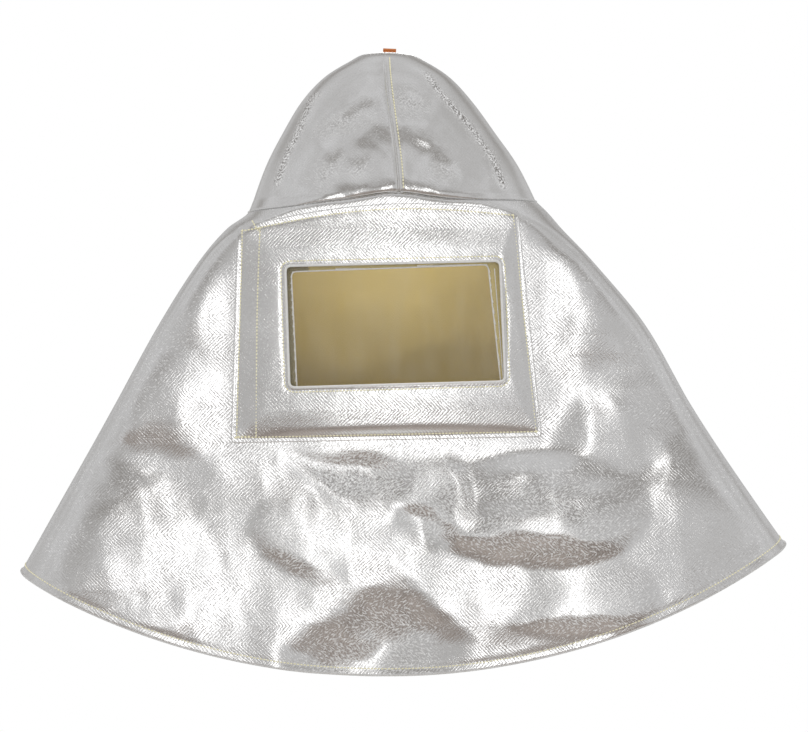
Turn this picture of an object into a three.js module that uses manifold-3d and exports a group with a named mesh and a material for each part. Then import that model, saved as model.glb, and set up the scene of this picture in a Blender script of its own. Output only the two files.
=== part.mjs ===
// Aluminized hood: a two-part crown sewn to a flared cape, with a framed window pocket
// and a clear lens. Millimetres, +Z up, the wearer looks along -Y, and left and right
// are as seen from the front.
// The origin is the inside top of the crown, where the head carries the hood.
import * as THREE from "three";
import { mergeVertices } from "three/addons/utils/BufferGeometryUtils.js";
import Module from "manifold-3d";

const wasm = await Module();
wasm.setup();

// Cloth and clearances
const CLOTH = 1.6; // aluminized twill
const HEM_CLOTH = 3.2; // the same cloth folded once at the hem
const HEM_DEPTH = 9; // height of the folded hem
const CAPE_LENGTH = 440; // from the crown seam to the hem, along the cloth
const SEAM_GAP = 0.5; // clearance between two sewn panels
const PATCH_GAP = 0.9; // clearance under the edge of the window frame

// Crown: half widths and depths against the drop below its top
const CROWN_TOP = CLOTH;
const CROWN_ROWS = [
  { drop: 0, left: 7, right: -7, front: 0, back: 0 },
  { drop: 2, left: 27, right: 16, front: 24, back: 24 },
  { drop: 10, left: 43, right: 34, front: 52, back: 50 },
  { drop: 26, left: 68, right: 58, front: 77, back: 78 },
  { drop: 50, left: 90, right: 80, front: 97, back: 100 },
  { drop: 82, left: 109, right: 103, front: 112, back: 116 },
  { drop: 114, left: 125, right: 125, front: 119, back: 125 },
  { drop: 150, left: 138, right: 143, front: 126, back: 132 },
];
const CROWN_LEAN = { top: -7, base: 7, fade: 60 }; // the centre seam leans, and the cape takes it up
const CROWN_SQUARENESS = { top: 2.0, base: 3.0 }; // superellipse exponent
const CAPE_SQUARENESS = { hem: 5.0, reached: -215 }; // the cape lies flatter than the crown

// Cape: half widths and depths against height
const CAPE_ROWS = [
  { z: -148, left: 138, right: 143, front: 126, back: 132 },
  { z: -160, left: 143, right: 155, front: 138, back: 136 },
  { z: -176, left: 163, right: 168, front: 150, back: 141 },
  { z: -208, left: 189, right: 197, front: 160, back: 142 },
  { z: -272, left: 230, right: 250, front: 162, back: 144 },
  { z: -352, left: 274, right: 296, front: 162, back: 146 },
  { z: -448, left: 328, right: 360, front: 163, back: 148 },
  { z: -630, left: 431, right: 494, front: 164, back: 152 },
];
// The face of the hood is flat here: the depth that the front and back never pass
const FACE_ROWS = [
  { z: -140, front: 122, back: 128 },
  { z: -390, front: 122, back: 130 },
  { z: -460, front: 129, back: 134 },
  { z: -630, front: 144, back: 142 },
];
const FACE_BLEND = 12;

// Crown seam: its height along the front, level at the back
const SEAM_ROWS = [
  { x: -145, z: -160 },
  { x: -95, z: -156 },
  { x: -45, z: -150 },
  { x: 5, z: -144 },
  { x: 60, z: -150 },
  { x: 145, z: -149 },
];
const SEAM_BACK_Z = -152;
const SEAM_GROOVE = { depth: 3.5, spread: 7 };
const CROWN_ROLL = { lift: 3, above: 13, spread: 9 };

// Hem: an arc in the front view, the same on the back
const HEM_ARC = { x: -9, z: 75, radius: 687 };

// Folds of the front and back: centre, half length, width of the flank above (or left of) its line and
// below it, turn from level, lift out. They die out beside the window frame and at the top of the crown.
const FOLD_FADE = { frameStart: 10, frameEnd: 26, topStart: 4, topEnd: 40 };
const FOLD_EDGE = { crest: 0.14, foot: 0.11 }; // how far a fold's crest and feet are rounded
const FRONT_FOLDS = [
  { name: "shelf", x: 143, z: -469, run: 105, above: 80, below: 32, turn: 1, lift: 12 },
  { name: "upright ridge", x: 58, z: -426, run: 42, above: 18, below: 24, turn: 97, lift: 6 },
  { name: "hollow under frame", x: -28, z: -412, run: 46, above: 22, below: 14, turn: -17, lift: -8 },
  { name: "slanting ridge", x: -52, z: -420, run: 60, above: 16, below: 16, turn: -27, lift: 6 },
  { name: "second slanting ridge", x: -51, z: -456, run: 60, above: 18, below: 60, turn: -41, lift: 6 },
  { name: "middle hollow", x: 32, z: -470, run: 28, above: 18, below: 10, turn: 10, lift: -6 },
  { name: "lower hollow", x: 3, z: -577, run: 90, above: 62, below: 70, turn: 47, lift: -15 },
  { name: "left streak", x: -89, z: -490, run: 56, above: 50, below: 18, turn: -26, lift: 6 },
  { name: "right hem ridge", x: 192, z: -548, run: 68, above: 60, below: 20, turn: 8, lift: 6 },
  { name: "right swell", x: 262, z: -505, run: 130, above: 190, below: 80, turn: 86, lift: 11 },
  { name: "right upper ridge", x: 262, z: -338, run: 56, above: 112, below: 50, turn: 62, lift: 6 },
  { name: "left upper ridge", x: -250, z: -345, run: 50, above: 50, below: 95, turn: 88, lift: 6.5 },
  { name: "left shoulder ridge", x: -186, z: -252, run: 52, above: 40, below: 40, turn: 8, lift: 4 },
  { name: "left swell", x: -305, z: -490, run: 95, above: 40, below: 100, turn: 80, lift: 8.5 },
  { name: "right edge ridge", x: 312, z: -413, run: 78, above: 24, below: 44, turn: -50, lift: 6 },
  { name: "right shoulder ridge", x: 186, z: -205, run: 48, above: 46, below: 18, turn: 84, lift: 3.2 },
  { name: "crown left hollow", x: -47, z: -72, run: 42, above: 12, below: 18, turn: 24, lift: -4 },
  { name: "crown low hollow", x: -61, z: -122, run: 26, above: 13, below: 15, turn: 50, lift: -4 },
  { name: "crown right hollow", x: 18, z: -54, run: 28, above: 16, below: 18, turn: -18, lift: -4 },
  { name: "crown low right hollow", x: 52, z: -121, run: 20, above: 11, below: 13, turn: -24, lift: -3.5 },
];
const BACK_FOLDS = [
  { name: "back left fold", x: -150, z: -430, run: 150, above: 45, below: 45, turn: 62, lift: 9 },
  { name: "back right fold", x: 150, z: -430, run: 150, above: 45, below: 45, turn: -62, lift: 9 },
  { name: "back middle hollow", x: 10, z: -480, run: 120, above: 48, below: 48, turn: 88, lift: -10 },
  { name: "nape hollow", x: 0, z: -298, run: 150, above: 70, below: 60, turn: 6, lift: -12 },
];

// Window frame: a patch sewn on the front, with its opening and the opening behind it
const FRAME_EDGE = {
  topLeft: [-149, -178],
  topMiddle: [-14, -156],
  topRight: [122, -162],
  bottomRight: [145, -380],
  bottomLeft: [-155, -386],
};
const FRAME_OPENING = [[-103, -215], [105, -210], [110, -327], [-99, -333]];
const CAPE_OPENING = [[-98, -220], [94, -213], [107, -328], [-92, -336]];
const OPENING_CORNER = 6;
const ROLL_RADIUS = 1.7; // the turned edge round each opening
const ROLL_SIDES = 8;
const POCKET_RISE = 1.8; // how far the frame stands off the cape over the lens
const POCKET_EDGE = 7; // width over which the frame comes down to its stitched edge

// Lens: a flat clear sheet that rests in the pocket
const LENS = { width: 242, height: 172, thickness: 1, bottom: -372, x: -4 };
const LENS_GAP = 0.4;

// Tab: a tape folded into a flat loop behind the top of the crown
const TAB = { width: 13, length: 12, height: 4.6, tape: 1.2, left: -9, front: 1, tilt: 2.5 };
const TAB_GAP = 0.4;

const FACETS = { frontAcross: 48, frontDown: 24, backAcross: 28, backDown: 12, crownDown: 12 };
const FRAME_FACETS = { nearEnd: 6, middle: 4 };
const FRAME_TURN = 52; // width of the frame's margin that bends with the cape
const ROW_CROWDING = 1.4; // how much rows close up towards a seam, where the cloth bends most
const COLUMN_CROWDING = 1.5; // how much columns close up towards the middle, to lie evenly across the cape
const LAST_COLUMN = 88.3; // angle of one more column, close to each side seam

const cloth = new THREE.MeshStandardMaterial({ color: 0xc4c4c6, metalness: 0.85, roughness: 0.35 });
const lensPlastic = new THREE.MeshStandardMaterial({
  color: 0xf2f2ea,
  roughness: 0.05,
  transparent: true,
  opacity: 0.15,
});
const tape = new THREE.MeshStandardMaterial({ color: 0xc8682a, roughness: 0.8 });

const smoothstep = THREE.MathUtils.smoothstep;
const radians = THREE.MathUtils.degToRad;
const signedPower = (value, power) => Math.sign(value) * Math.abs(value) ** power;

// A column of a table as a smooth function of its key: cubic, with no overshoot between rows.
function column(rows, key, name, scale = (value) => value) {
  const at = rows.map((row) => scale(row[key]));
  const value = rows.map((row) => row[name]);
  const rising = at[1] > at[0] ? 1 : -1;
  const step = at.slice(1).map((a, i) => (value[i + 1] - value[i]) / (a - at[i]));
  const slope = value.map((_, i) => {
    if (i === 0) return step[0];
    if (i === step.length) return step[i - 1];
    const [before, after] = [step[i - 1], step[i]];
    return before * after <= 0 ? 0 : (2 * before * after) / (before + after);
  });
  return (input) => {
    const a = scale(input);
    let i = 0;
    while (i < step.length - 1 && (a - at[i + 1]) * rising > 0) i++;
    const width = at[i + 1] - at[i];
    const t = Math.min(1, Math.max(0, (a - at[i]) / width));
    const [t2, t3] = [t * t, t * t * t];
    const blend = (2 * t3 - 3 * t2 + 1) * value[i] + (3 * t2 - 2 * t3) * value[i + 1];
    return blend + width * ((t3 - 2 * t2 + t) * slope[i] + (t3 - t2) * slope[i + 1]);
  };
}

// The smaller of two depths, rounded where they cross
function softMinimum(a, b, blend) {
  const h = Math.max(0, blend - Math.abs(a - b)) / blend;
  return Math.min(a, b) - (h * h * blend) / 4;
}

const SIDES = ["left", "right", "front", "back"];
const columnsOf = (rows, key, names, scale) =>
  Object.fromEntries(names.map((name) => [name, column(rows, key, name, scale)]));
const crownSize = columnsOf(CROWN_ROWS, "drop", SIDES, Math.sqrt);
const capeSize = columnsOf(CAPE_ROWS, "z", SIDES);
const faceDepth = columnsOf(FACE_ROWS, "z", ["front", "back"]);
const frontSeam = column(SEAM_ROWS, "x", "z");

const CROWN_BASE = CAPE_ROWS[0].z;
const sizeAt = (side, z) =>
  z > CROWN_BASE ? crownSize[side](Math.max(0, CROWN_TOP - z)) : capeSize[side](z);
const seamAt = (x, isFront) => (isFront ? frontSeam(x) : SEAM_BACK_Z);

function leanAt(z) {
  const crownShare = smoothstep(-z, -CROWN_TOP, -CROWN_BASE);
  const fade = 1 - smoothstep(-z, -CROWN_BASE, -CROWN_BASE + CROWN_LEAN.fade);
  return fade * THREE.MathUtils.lerp(CROWN_LEAN.top, CROWN_LEAN.base, crownShare);
}

function squarenessAt(z) {
  const crownShare = smoothstep(-z, -CROWN_TOP, -CROWN_BASE);
  const capeShare = smoothstep(-z, -CROWN_BASE, -CAPE_SQUARENESS.reached);
  const crown = THREE.MathUtils.lerp(CROWN_SQUARENESS.top, CROWN_SQUARENESS.base, crownShare);
  return crown + (CAPE_SQUARENESS.hem - CROWN_SQUARENESS.base) * capeShare;
}

// One fold: a ridge or hollow with two flat flanks along a short line in the front view
function foldHeight(fold, x, z) {
  const [dx, dz] = [x - fold.x, z - fold.z];
  const turn = radians(fold.turn);
  const along = (dx * Math.cos(turn) + dz * Math.sin(turn)) / fold.run;
  const across = dz * Math.cos(turn) - dx * Math.sin(turn);
  const share = across / (across > 0 ? fold.above : fold.below);
  const tent = 1 + FOLD_EDGE.crest - Math.hypot(share, FOLD_EDGE.crest);
  const rounded = (tent + Math.hypot(tent, FOLD_EDGE.foot)) / 2;
  const taper = Math.max(0, 1 - Math.abs(along) ** 2.5) ** 1.2;
  return fold.lift * Math.max(0, rounded - FOLD_EDGE.foot / 20) * taper;
}

// Zero over the window pocket, one on the open cloth
function clearOfPocket(x, z) {
  const outX = Math.max(FRAME_EDGE.bottomLeft[0] - x, x - FRAME_EDGE.bottomRight[0], 0);
  const outZ = Math.max(FRAME_EDGE.bottomLeft[1] - z, z - FRAME_EDGE.topMiddle[1], 0);
  return smoothstep(Math.hypot(outX, outZ), FOLD_FADE.frameStart, FOLD_FADE.frameEnd);
}

function foldsAt(x, z, isFront) {
  const folds = isFront ? FRONT_FOLDS : BACK_FOLDS;
  const sum = folds.reduce((total, fold) => total + foldHeight(fold, x, z), 0);
  return isFront ? sum * clearOfPocket(x, z) : sum;
}

// The valley of the crown seam, with the roll of the crown just above it
function seamRelief(x, z, isFront) {
  const above = z - seamAt(x, isFront);
  const groove = -SEAM_GROOVE.depth * Math.exp(-((above / SEAM_GROOVE.spread) ** 2));
  const roll = CROWN_ROLL.lift * Math.exp(-(((above - CROWN_ROLL.above) / CROWN_ROLL.spread) ** 2));
  return groove + roll;
}

// A point of the hood's outer face. Angle 0 is the front, 90 the right (+X), 180 the back.
function hoodPoint(angle, z) {
  const [sine, cosine] = [Math.sin(radians(angle)), Math.cos(radians(angle))];
  const isFront = cosine >= 0;
  const power = 2 / squarenessAt(z);
  const lean = leanAt(z);
  const reach = sine < 0 ? sizeAt("left", z) + lean : sizeAt("right", z) - lean;
  const x = lean + reach * signedPower(sine, power);
  const face = isFront ? "front" : "back";
  const full = sizeAt(face, z) * Math.abs(cosine) ** power;
  const flat = softMinimum(full, faceDepth[face](z), FACE_BLEND);
  const facing = Math.sqrt(Math.abs(cosine));
  const belowTop = smoothstep(CROWN_TOP - z, FOLD_FADE.topStart, FOLD_FADE.topEnd);
  const relief = (foldsAt(x, z, isFront) + seamRelief(x, z, isFront)) * facing * belowTop;
  return new THREE.Vector3(x, (isFront ? -1 : 1) * (flat + relief), z);
}

// Height where a strip of cloth that leaves the crown at this angle meets a limit given in the front view
function meets(angle, limit) {
  let z = CROWN_BASE;
  for (let i = 0; i < 12; i++) z = limit(hoodPoint(angle, z).x);
  return z;
}
const seamHeight = (angle) => meets(angle, (x) => seamAt(x, Math.abs(angle) <= 90));
const hemHeight = (angle) =>
  meets(angle, (x) => HEM_ARC.z - Math.sqrt(HEM_ARC.radius ** 2 - (x - HEM_ARC.x) ** 2));

// Outward normal of a surface of two parameters, from close neighbours
function normalOf(point, u, v, du, dv) {
  const alongU = point(u + du, v).sub(point(u - du, v));
  const alongV = point(u, v + dv).sub(point(u, v - dv));
  return alongU.cross(alongV).normalize();
}

// A closed sheet between an outer grid and an inner grid of the same size
function closedSheet(outer, inner) {
  const [rows, columns] = [outer.length, outer[0].length];
  const points = [...outer.flat(), ...inner.flat()];
  const index = (side, i, j) => side * rows * columns + i * columns + j;
  const faces = [];
  const quad = (a, b, c, d) => faces.push([a, b, c], [a, c, d]);
  for (let i = 0; i < rows - 1; i++) {
    for (let j = 0; j < columns - 1; j++) {
      quad(index(0, i, j), index(0, i + 1, j), index(0, i + 1, j + 1), index(0, i, j + 1));
      quad(index(1, i, j), index(1, i, j + 1), index(1, i + 1, j + 1), index(1, i + 1, j));
    }
  }
  for (let i = 0; i < rows - 1; i++) {
    const last = columns - 1;
    quad(index(0, i, 0), index(1, i, 0), index(1, i + 1, 0), index(0, i + 1, 0));
    quad(index(0, i, last), index(0, i + 1, last), index(1, i + 1, last), index(1, i, last));
  }
  for (let j = 0; j < columns - 1; j++) {
    const last = rows - 1;
    quad(index(0, 0, j), index(0, 0, j + 1), index(1, 0, j + 1), index(1, 0, j));
    quad(index(0, last, j), index(1, last, j), index(1, last, j + 1), index(0, last, j + 1));
  }
  return closedGeometry(points, faces);
}

// Shared vertices merged, and triangles that closed up at a pole dropped
function closedGeometry(points, faces) {
  const loose = new THREE.BufferGeometry().setFromPoints(faces.flat().map((i) => points[i]));
  const merged = mergeVertices(loose, 1e-4);
  const kept = [];
  for (let i = 0; i < merged.index.count; i += 3) {
    const [a, b, c] = merged.index.array.slice(i, i + 3);
    if (a !== b && b !== c && c !== a) kept.push(a, b, c);
  }
  return merged.setIndex(kept);
}

function toSolid(geometry) {
  const bare = new THREE.BufferGeometry();
  const loose = geometry.index ? geometry.toNonIndexed() : geometry;
  bare.setAttribute("position", loose.getAttribute("position"));
  const merged = mergeVertices(bare, 1e-4);
  return new wasm.Manifold(
    new wasm.Mesh({
      numProp: 3,
      vertProperties: merged.attributes.position.array,
      triVerts: new Uint32Array(merged.index.array),
    }),
  );
}

function toGeometry(solid) {
  const mesh = solid.getMesh();
  return new THREE.BufferGeometry()
    .setAttribute("position", new THREE.BufferAttribute(mesh.vertProperties, 3))
    .setIndex(new THREE.BufferAttribute(mesh.triVerts, 1));
}

function namedMesh(name, geometry, material) {
  geometry.computeVertexNormals();
  const mesh = new THREE.Mesh(geometry, material);
  mesh.name = name;
  return mesh;
}

const range = (from, to, steps) =>
  Array.from({ length: steps + 1 }, (_, i) => from + ((to - from) * i) / steps);

// Angles from the middle of a face to its side seam
function quarterAngles(columns) {
  const angles = range(0, 1, columns - 1).map((t) => 90 * t ** COLUMN_CROWDING);
  return [...angles.slice(0, -1), LAST_COLUMN, 90];
}

// Crown half: from the pole at the top to the seam, between the front and back centre lines
function crownHalf(side) {
  const sign = side === "left" ? -1 : 1;
  const base = (angle) => seamHeight(angle) + SEAM_GAP / 2;
  const point = (angle, t) =>
    hoodPoint(angle, CROWN_TOP + (base(angle) - CROWN_TOP) * Math.min(1, Math.max(0, t)) ** 2);
  const frontAngles = quarterAngles(FACETS.frontAcross / 2);
  const backAngles = quarterAngles(FACETS.backAcross / 2).map((a) => 180 - a).reverse().slice(1);
  const angles = [...frontAngles, ...backAngles].map((a) => a * sign);
  const shift = new THREE.Vector3((sign * SEAM_GAP) / 2, 0, 0);
  const levels = range(0, 1, FACETS.crownDown);
  const outer = levels.map((t) => angles.map((a) => point(a, t).add(shift)));
  const inner = levels.map((t, i) =>
    angles.map((a, j) => {
      const normal =
        t === 0 ? new THREE.Vector3(0, 0, 1) : normalOf(point, a, t, 1, -0.01);
      if (j === 0 || j === angles.length - 1) normal.setX(0).normalize();
      return outer[i][j].clone().addScaledVector(normal, -CLOTH);
    }),
  );
  const order = (grid) => (sign > 0 ? grid : grid.map((row) => [...row].reverse()));
  return closedSheet(order(outer), order(inner));
}

// Cape half: from the seam to the folded hem, between the two side seams
function capeHalf(face, across, down) {
  const turn = face === "front" ? 0 : 180;
  const edge = face === "front" ? -1 : 1;
  const point = (offset, t) => {
    const angle = turn + offset;
    const wrapped = angle > 180 ? angle - 360 : angle;
    const [top, bottom] = [seamHeight(wrapped) - SEAM_GAP / 2, hemHeight(wrapped)];
    return hoodPoint(wrapped, top + (bottom - top) * t);
  };
  const quarter = quarterAngles(across / 2);
  const offsets = [...quarter.slice(1).map((a) => -a).reverse(), ...quarter];
  const hemShare = 1 - HEM_DEPTH / CAPE_LENGTH;
  const rows = range(0, 1, down - 2).map((t) => hemShare * t ** ROW_CROWDING);
  const levels = [...rows, hemShare + (HEM_CLOTH - CLOTH) / CAPE_LENGTH, 1];
  const shift = new THREE.Vector3(0, (edge * SEAM_GAP) / 2, 0);
  const outer = levels.map((t) => offsets.map((a) => point(a, t).add(shift)));
  const inner = levels.map((t, i) =>
    offsets.map((a, j) => {
      const normal = normalOf(point, a, t, 0.7, -0.004);
      if (j === 0 || j === offsets.length - 1) normal.setY(0).normalize();
      const thickness = t > hemShare ? HEM_CLOTH : CLOTH;
      return outer[i][j].clone().addScaledVector(normal, -thickness);
    }),
  );
  return closedSheet(outer, inner);
}

// A four-cornered outline in the front view with rounded corners
function roundedOutline(corners) {
  const points = corners.map(([x, z]) => new THREE.Vector2(x, z));
  const shape = new THREE.Shape();
  points.forEach((corner, i) => {
    const before = points[(i + points.length - 1) % points.length];
    const after = points[(i + 1) % points.length];
    const start = corner.clone().add(before.clone().sub(corner).setLength(OPENING_CORNER));
    const end = corner.clone().add(after.clone().sub(corner).setLength(OPENING_CORNER));
    if (i === 0) shape.moveTo(start.x, start.y);
    else shape.lineTo(start.x, start.y);
    shape.quadraticCurveTo(corner.x, corner.y, end.x, end.y);
  });
  shape.closePath();
  return shape;
}

// Extrudes an outline of the front view (x, z) along Y, from one depth to another
function prism(shape, fromY, toY) {
  const geometry = new THREE.ExtrudeGeometry(shape, {
    depth: toY - fromY,
    bevelEnabled: false,
    curveSegments: 4,
  });
  // Turning +Y of the outline up to +Z sends the extrusion to -Y
  return geometry.rotateX(Math.PI / 2).translate(0, toY, 0);
}

// The turned edge of an opening: a round bead that follows its outline at one depth
function turnedEdge(corners, y) {
  const outline = roundedOutline(corners).getPoints(4).slice(0, -1);
  const path = outline.map(({ x, y: z }) => new THREE.Vector3(x, y, z));
  const rings = path.map((here, i) => {
    const before = path[(i + path.length - 1) % path.length];
    const after = path[(i + 1) % path.length];
    const along = after.clone().sub(before).normalize();
    const outward = new THREE.Vector3(0, 1, 0);
    const sideways = outward.clone().cross(along).normalize();
    return range(0, 360, ROLL_SIDES).slice(1).map((degrees) =>
      here
        .clone()
        .addScaledVector(sideways, ROLL_RADIUS * Math.cos(radians(degrees)))
        .addScaledVector(outward, ROLL_RADIUS * Math.sin(radians(degrees))),
    );
  });
  const faces = [];
  const at = (i, k) => (i % rings.length) * ROLL_SIDES + (k % ROLL_SIDES);
  for (let i = 0; i < rings.length; i++) {
    for (let k = 0; k < ROLL_SIDES; k++) {
      faces.push([at(i, k), at(i, k + 1), at(i + 1, k + 1)], [at(i, k), at(i + 1, k + 1), at(i + 1, k)]);
    }
  }
  return closedGeometry(rings.flat(), faces);
}

// Cuts an opening in a panel and rolls the cloth round its edge
function withOpening(panel, corners, rollY) {
  const cutter = toSolid(prism(roundedOutline(corners), 2 * rollY, rollY / 2));
  const bead = toSolid(turnedEdge(corners, rollY));
  return toGeometry(toSolid(panel).subtract(cutter).add(bead));
}

// Depth of the cape's outer face in the front view: the angle whose strip passes through (x, z)
function frontFace(x, z) {
  let [low, high] = [-89.9, 89.9];
  for (let i = 0; i < 40; i++) {
    const middle = (low + high) / 2;
    if (hoodPoint(middle, z).x < x) low = middle;
    else high = middle;
  }
  const depth = hoodPoint((low + high) / 2, z).y - SEAM_GAP / 2;
  return new THREE.Vector3(x, depth, z);
}

// Window frame: a patch that follows the cape, stands off it over the lens and is sewn down at its edge
function windowFrame() {
  const { topLeft, topMiddle, topRight, bottomLeft, bottomRight } = FRAME_EDGE;
  const between = (a, b, t) => [0, 1].map((k) => a[k] + (b[k] - a[k]) * t);
  const topEdge = (u) => {
    const [x, z] = between(topLeft, topRight, u);
    const chord = between(topLeft, topRight, 0.5)[1];
    return [x, z + (topMiddle[1] - chord) * Math.sin(Math.PI * u)];
  };
  const plan = (u, v) => between(topEdge(u), between(bottomLeft, bottomRight, u), v);
  const surface = (u, v) => frontFace(...plan(u, v));
  const width = bottomRight[0] - bottomLeft[0];
  const height = topMiddle[1] - bottomLeft[1];
  const standOff = (u, v) => {
    const toEdge = Math.min(u, 1 - u) * width;
    const toEnd = Math.min(v, 1 - v) * height;
    const share = smoothstep(Math.min(toEdge, toEnd), 0, POCKET_EDGE);
    return PATCH_GAP + (POCKET_RISE - PATCH_GAP) * share;
  };
  const layer = (extra) =>
    spaced(height).map((v) =>
      spaced(width).map((u) => {
        const normal = normalOf(surface, u, v, 0.004, 0.004).negate();
        return surface(u, v).addScaledVector(normal, standOff(u, v) + extra);
      }),
    );
  const panel = closedSheet(layer(CLOTH), layer(0));
  const pocketFace = -faceDepth.front(FRAME_OPENING[0][1]) - SEAM_GAP / 2;
  return withOpening(panel, FRAME_OPENING, pocketFace - POCKET_RISE - ROLL_RADIUS);
}

// Shares from 0 to 1 for a length, close together near both ends and few over the flat middle
function spaced(length) {
  const nearEnd = range(0, 1, FRAME_FACETS.nearEnd).map((t) => (FRAME_TURN * t ** ROW_CROWDING) / length);
  const middle = range(FRAME_TURN / length, 1 - FRAME_TURN / length, FRAME_FACETS.middle).slice(1, -1);
  return [...nearEnd, ...middle, ...nearEnd.map((share) => 1 - share).reverse()];
}

function capeFront() {
  const panel = capeHalf("front", FACETS.frontAcross, FACETS.frontDown);
  const pocketFace = -faceDepth.front(CAPE_OPENING[0][1]) - SEAM_GAP / 2;
  return withOpening(panel, CAPE_OPENING, pocketFace + ROLL_RADIUS);
}

function lens() {
  const front = -faceDepth.front(LENS.bottom) - SEAM_GAP / 2 - LENS_GAP;
  const [left, right] = [LENS.x - LENS.width / 2, LENS.x + LENS.width / 2];
  const [low, high] = [LENS.bottom, LENS.bottom + LENS.height];
  const shape = roundedOutline([[left, high], [right, high], [right, low], [left, low]]);
  return prism(shape, front - LENS.thickness, front);
}

// Tab: the side view of the folded tape, drawn from its sewn end, extruded across its width
function tab() {
  const bend = TAB.height / 2;
  const bendAt = TAB.length - bend;
  const folded = new THREE.Shape();
  folded.moveTo(0, 0);
  folded.lineTo(bendAt, 0);
  folded.absarc(bendAt, bend, bend, -Math.PI / 2, Math.PI / 2, false);
  folded.lineTo(0, 2 * TAB.tape);
  folded.closePath();
  const inside = new THREE.Path();
  inside.moveTo(3 * TAB.tape, TAB.tape);
  inside.lineTo(bendAt, TAB.tape);
  inside.absarc(bendAt, bend, bend - TAB.tape, -Math.PI / 2, Math.PI / 2, false);
  inside.closePath();
  folded.holes.push(inside);
  const strip = new THREE.ExtrudeGeometry(folded, {
    depth: TAB.width,
    bevelEnabled: false,
    curveSegments: 8,
  });
  const sideView = new THREE.Matrix4().makeBasis(
    new THREE.Vector3(0, 1, 0),
    new THREE.Vector3(0, 0, 1),
    new THREE.Vector3(1, 0, 0),
  );
  return strip
    .applyMatrix4(sideView)
    .rotateY(radians(TAB.tilt))
    .translate(TAB.left, TAB.front, CROWN_TOP + TAB_GAP);
}

const hood = new THREE.Group();
hood.add(
  namedMesh("crown_left", crownHalf("left"), cloth),
  namedMesh("crown_right", crownHalf("right"), cloth),
  namedMesh("cape_front", capeFront(), cloth),
  namedMesh("cape_back", capeHalf("back", FACETS.backAcross, FACETS.backDown), cloth),
  namedMesh("window_frame", windowFrame(), cloth),
  namedMesh("window_lens", lens(), lensPlastic),
  namedMesh("crown_tab", tab(), tape),
);

export default hood;
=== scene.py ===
"""The aluminized hood, dressed: its cloth, window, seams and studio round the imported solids.

Shapes are worked out in millimetres in the part's own frame, +Z up and the wearer looking along -Y,
and written to the meshes in metres. Left and right are as seen from the front.
"""

import logging
from dataclasses import dataclass, field
from enum import Enum
from typing import Any, Callable, Sequence

import bpy
import numpy as np
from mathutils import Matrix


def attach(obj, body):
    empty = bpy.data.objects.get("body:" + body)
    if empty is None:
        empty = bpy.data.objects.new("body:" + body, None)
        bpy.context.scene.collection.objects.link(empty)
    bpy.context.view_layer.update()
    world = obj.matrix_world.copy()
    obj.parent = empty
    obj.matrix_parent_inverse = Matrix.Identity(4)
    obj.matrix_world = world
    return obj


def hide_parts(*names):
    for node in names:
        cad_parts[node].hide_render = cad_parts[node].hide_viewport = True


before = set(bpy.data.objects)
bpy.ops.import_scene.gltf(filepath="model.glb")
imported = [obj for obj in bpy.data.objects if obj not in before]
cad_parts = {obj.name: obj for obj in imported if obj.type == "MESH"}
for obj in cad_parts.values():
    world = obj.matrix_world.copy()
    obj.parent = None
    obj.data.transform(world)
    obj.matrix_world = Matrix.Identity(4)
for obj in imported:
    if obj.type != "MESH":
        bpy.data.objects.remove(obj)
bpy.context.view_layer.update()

Array = np.ndarray
Material = bpy.types.Material
Piece = bpy.types.Object
Pair = tuple[float, float]
Triple = tuple[float, float, float]
Colour = Triple
MM = 0.001
log = logging.getLogger("hood")


class Face(Enum):
    """The two faces of the cape."""

    FRONT = "front"
    BACK = "back"

    @property
    def outward(self) -> int:
        """Direction of the face along Y."""
        return -1 if self is Face.FRONT else 1


class Side(Enum):
    """The two halves of the crown."""

    LEFT = -1
    RIGHT = 1


def smoothstep(value: Array, low: float, high: float) -> Array:
    """Rises from 0 at low to 1 at high as 3t^2 - 2t^3.

    Args:
        value: Where it is asked for.
        low: Where the rise starts.
        high: Where it ends.

    Returns:
        The share at each value.
    """
    share = np.clip((np.asarray(value, float) - low) / (high - low), 0.0, 1.0)
    return share * share * (3.0 - 2.0 * share)


def bell(value: Array, spread: float) -> Array:
    """A rounded bump of height 1: exp of minus the square of value over spread."""
    return np.exp(-((np.asarray(value, float) / spread) ** 2))


def soft_minimum(a: Array, b: Array, blend: Array) -> Array:
    """The smaller of two depths, rounded where they cross.

    Args:
        a: First depth.
        b: Second depth.
        blend: Difference under which the two are rounded into each other.

    Returns:
        The lower depth, less a quarter of the blend where they are equal.
    """
    near = np.maximum(0.0, blend - np.abs(a - b)) / blend
    return np.minimum(a, b) - near * near * blend / 4.0


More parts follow.
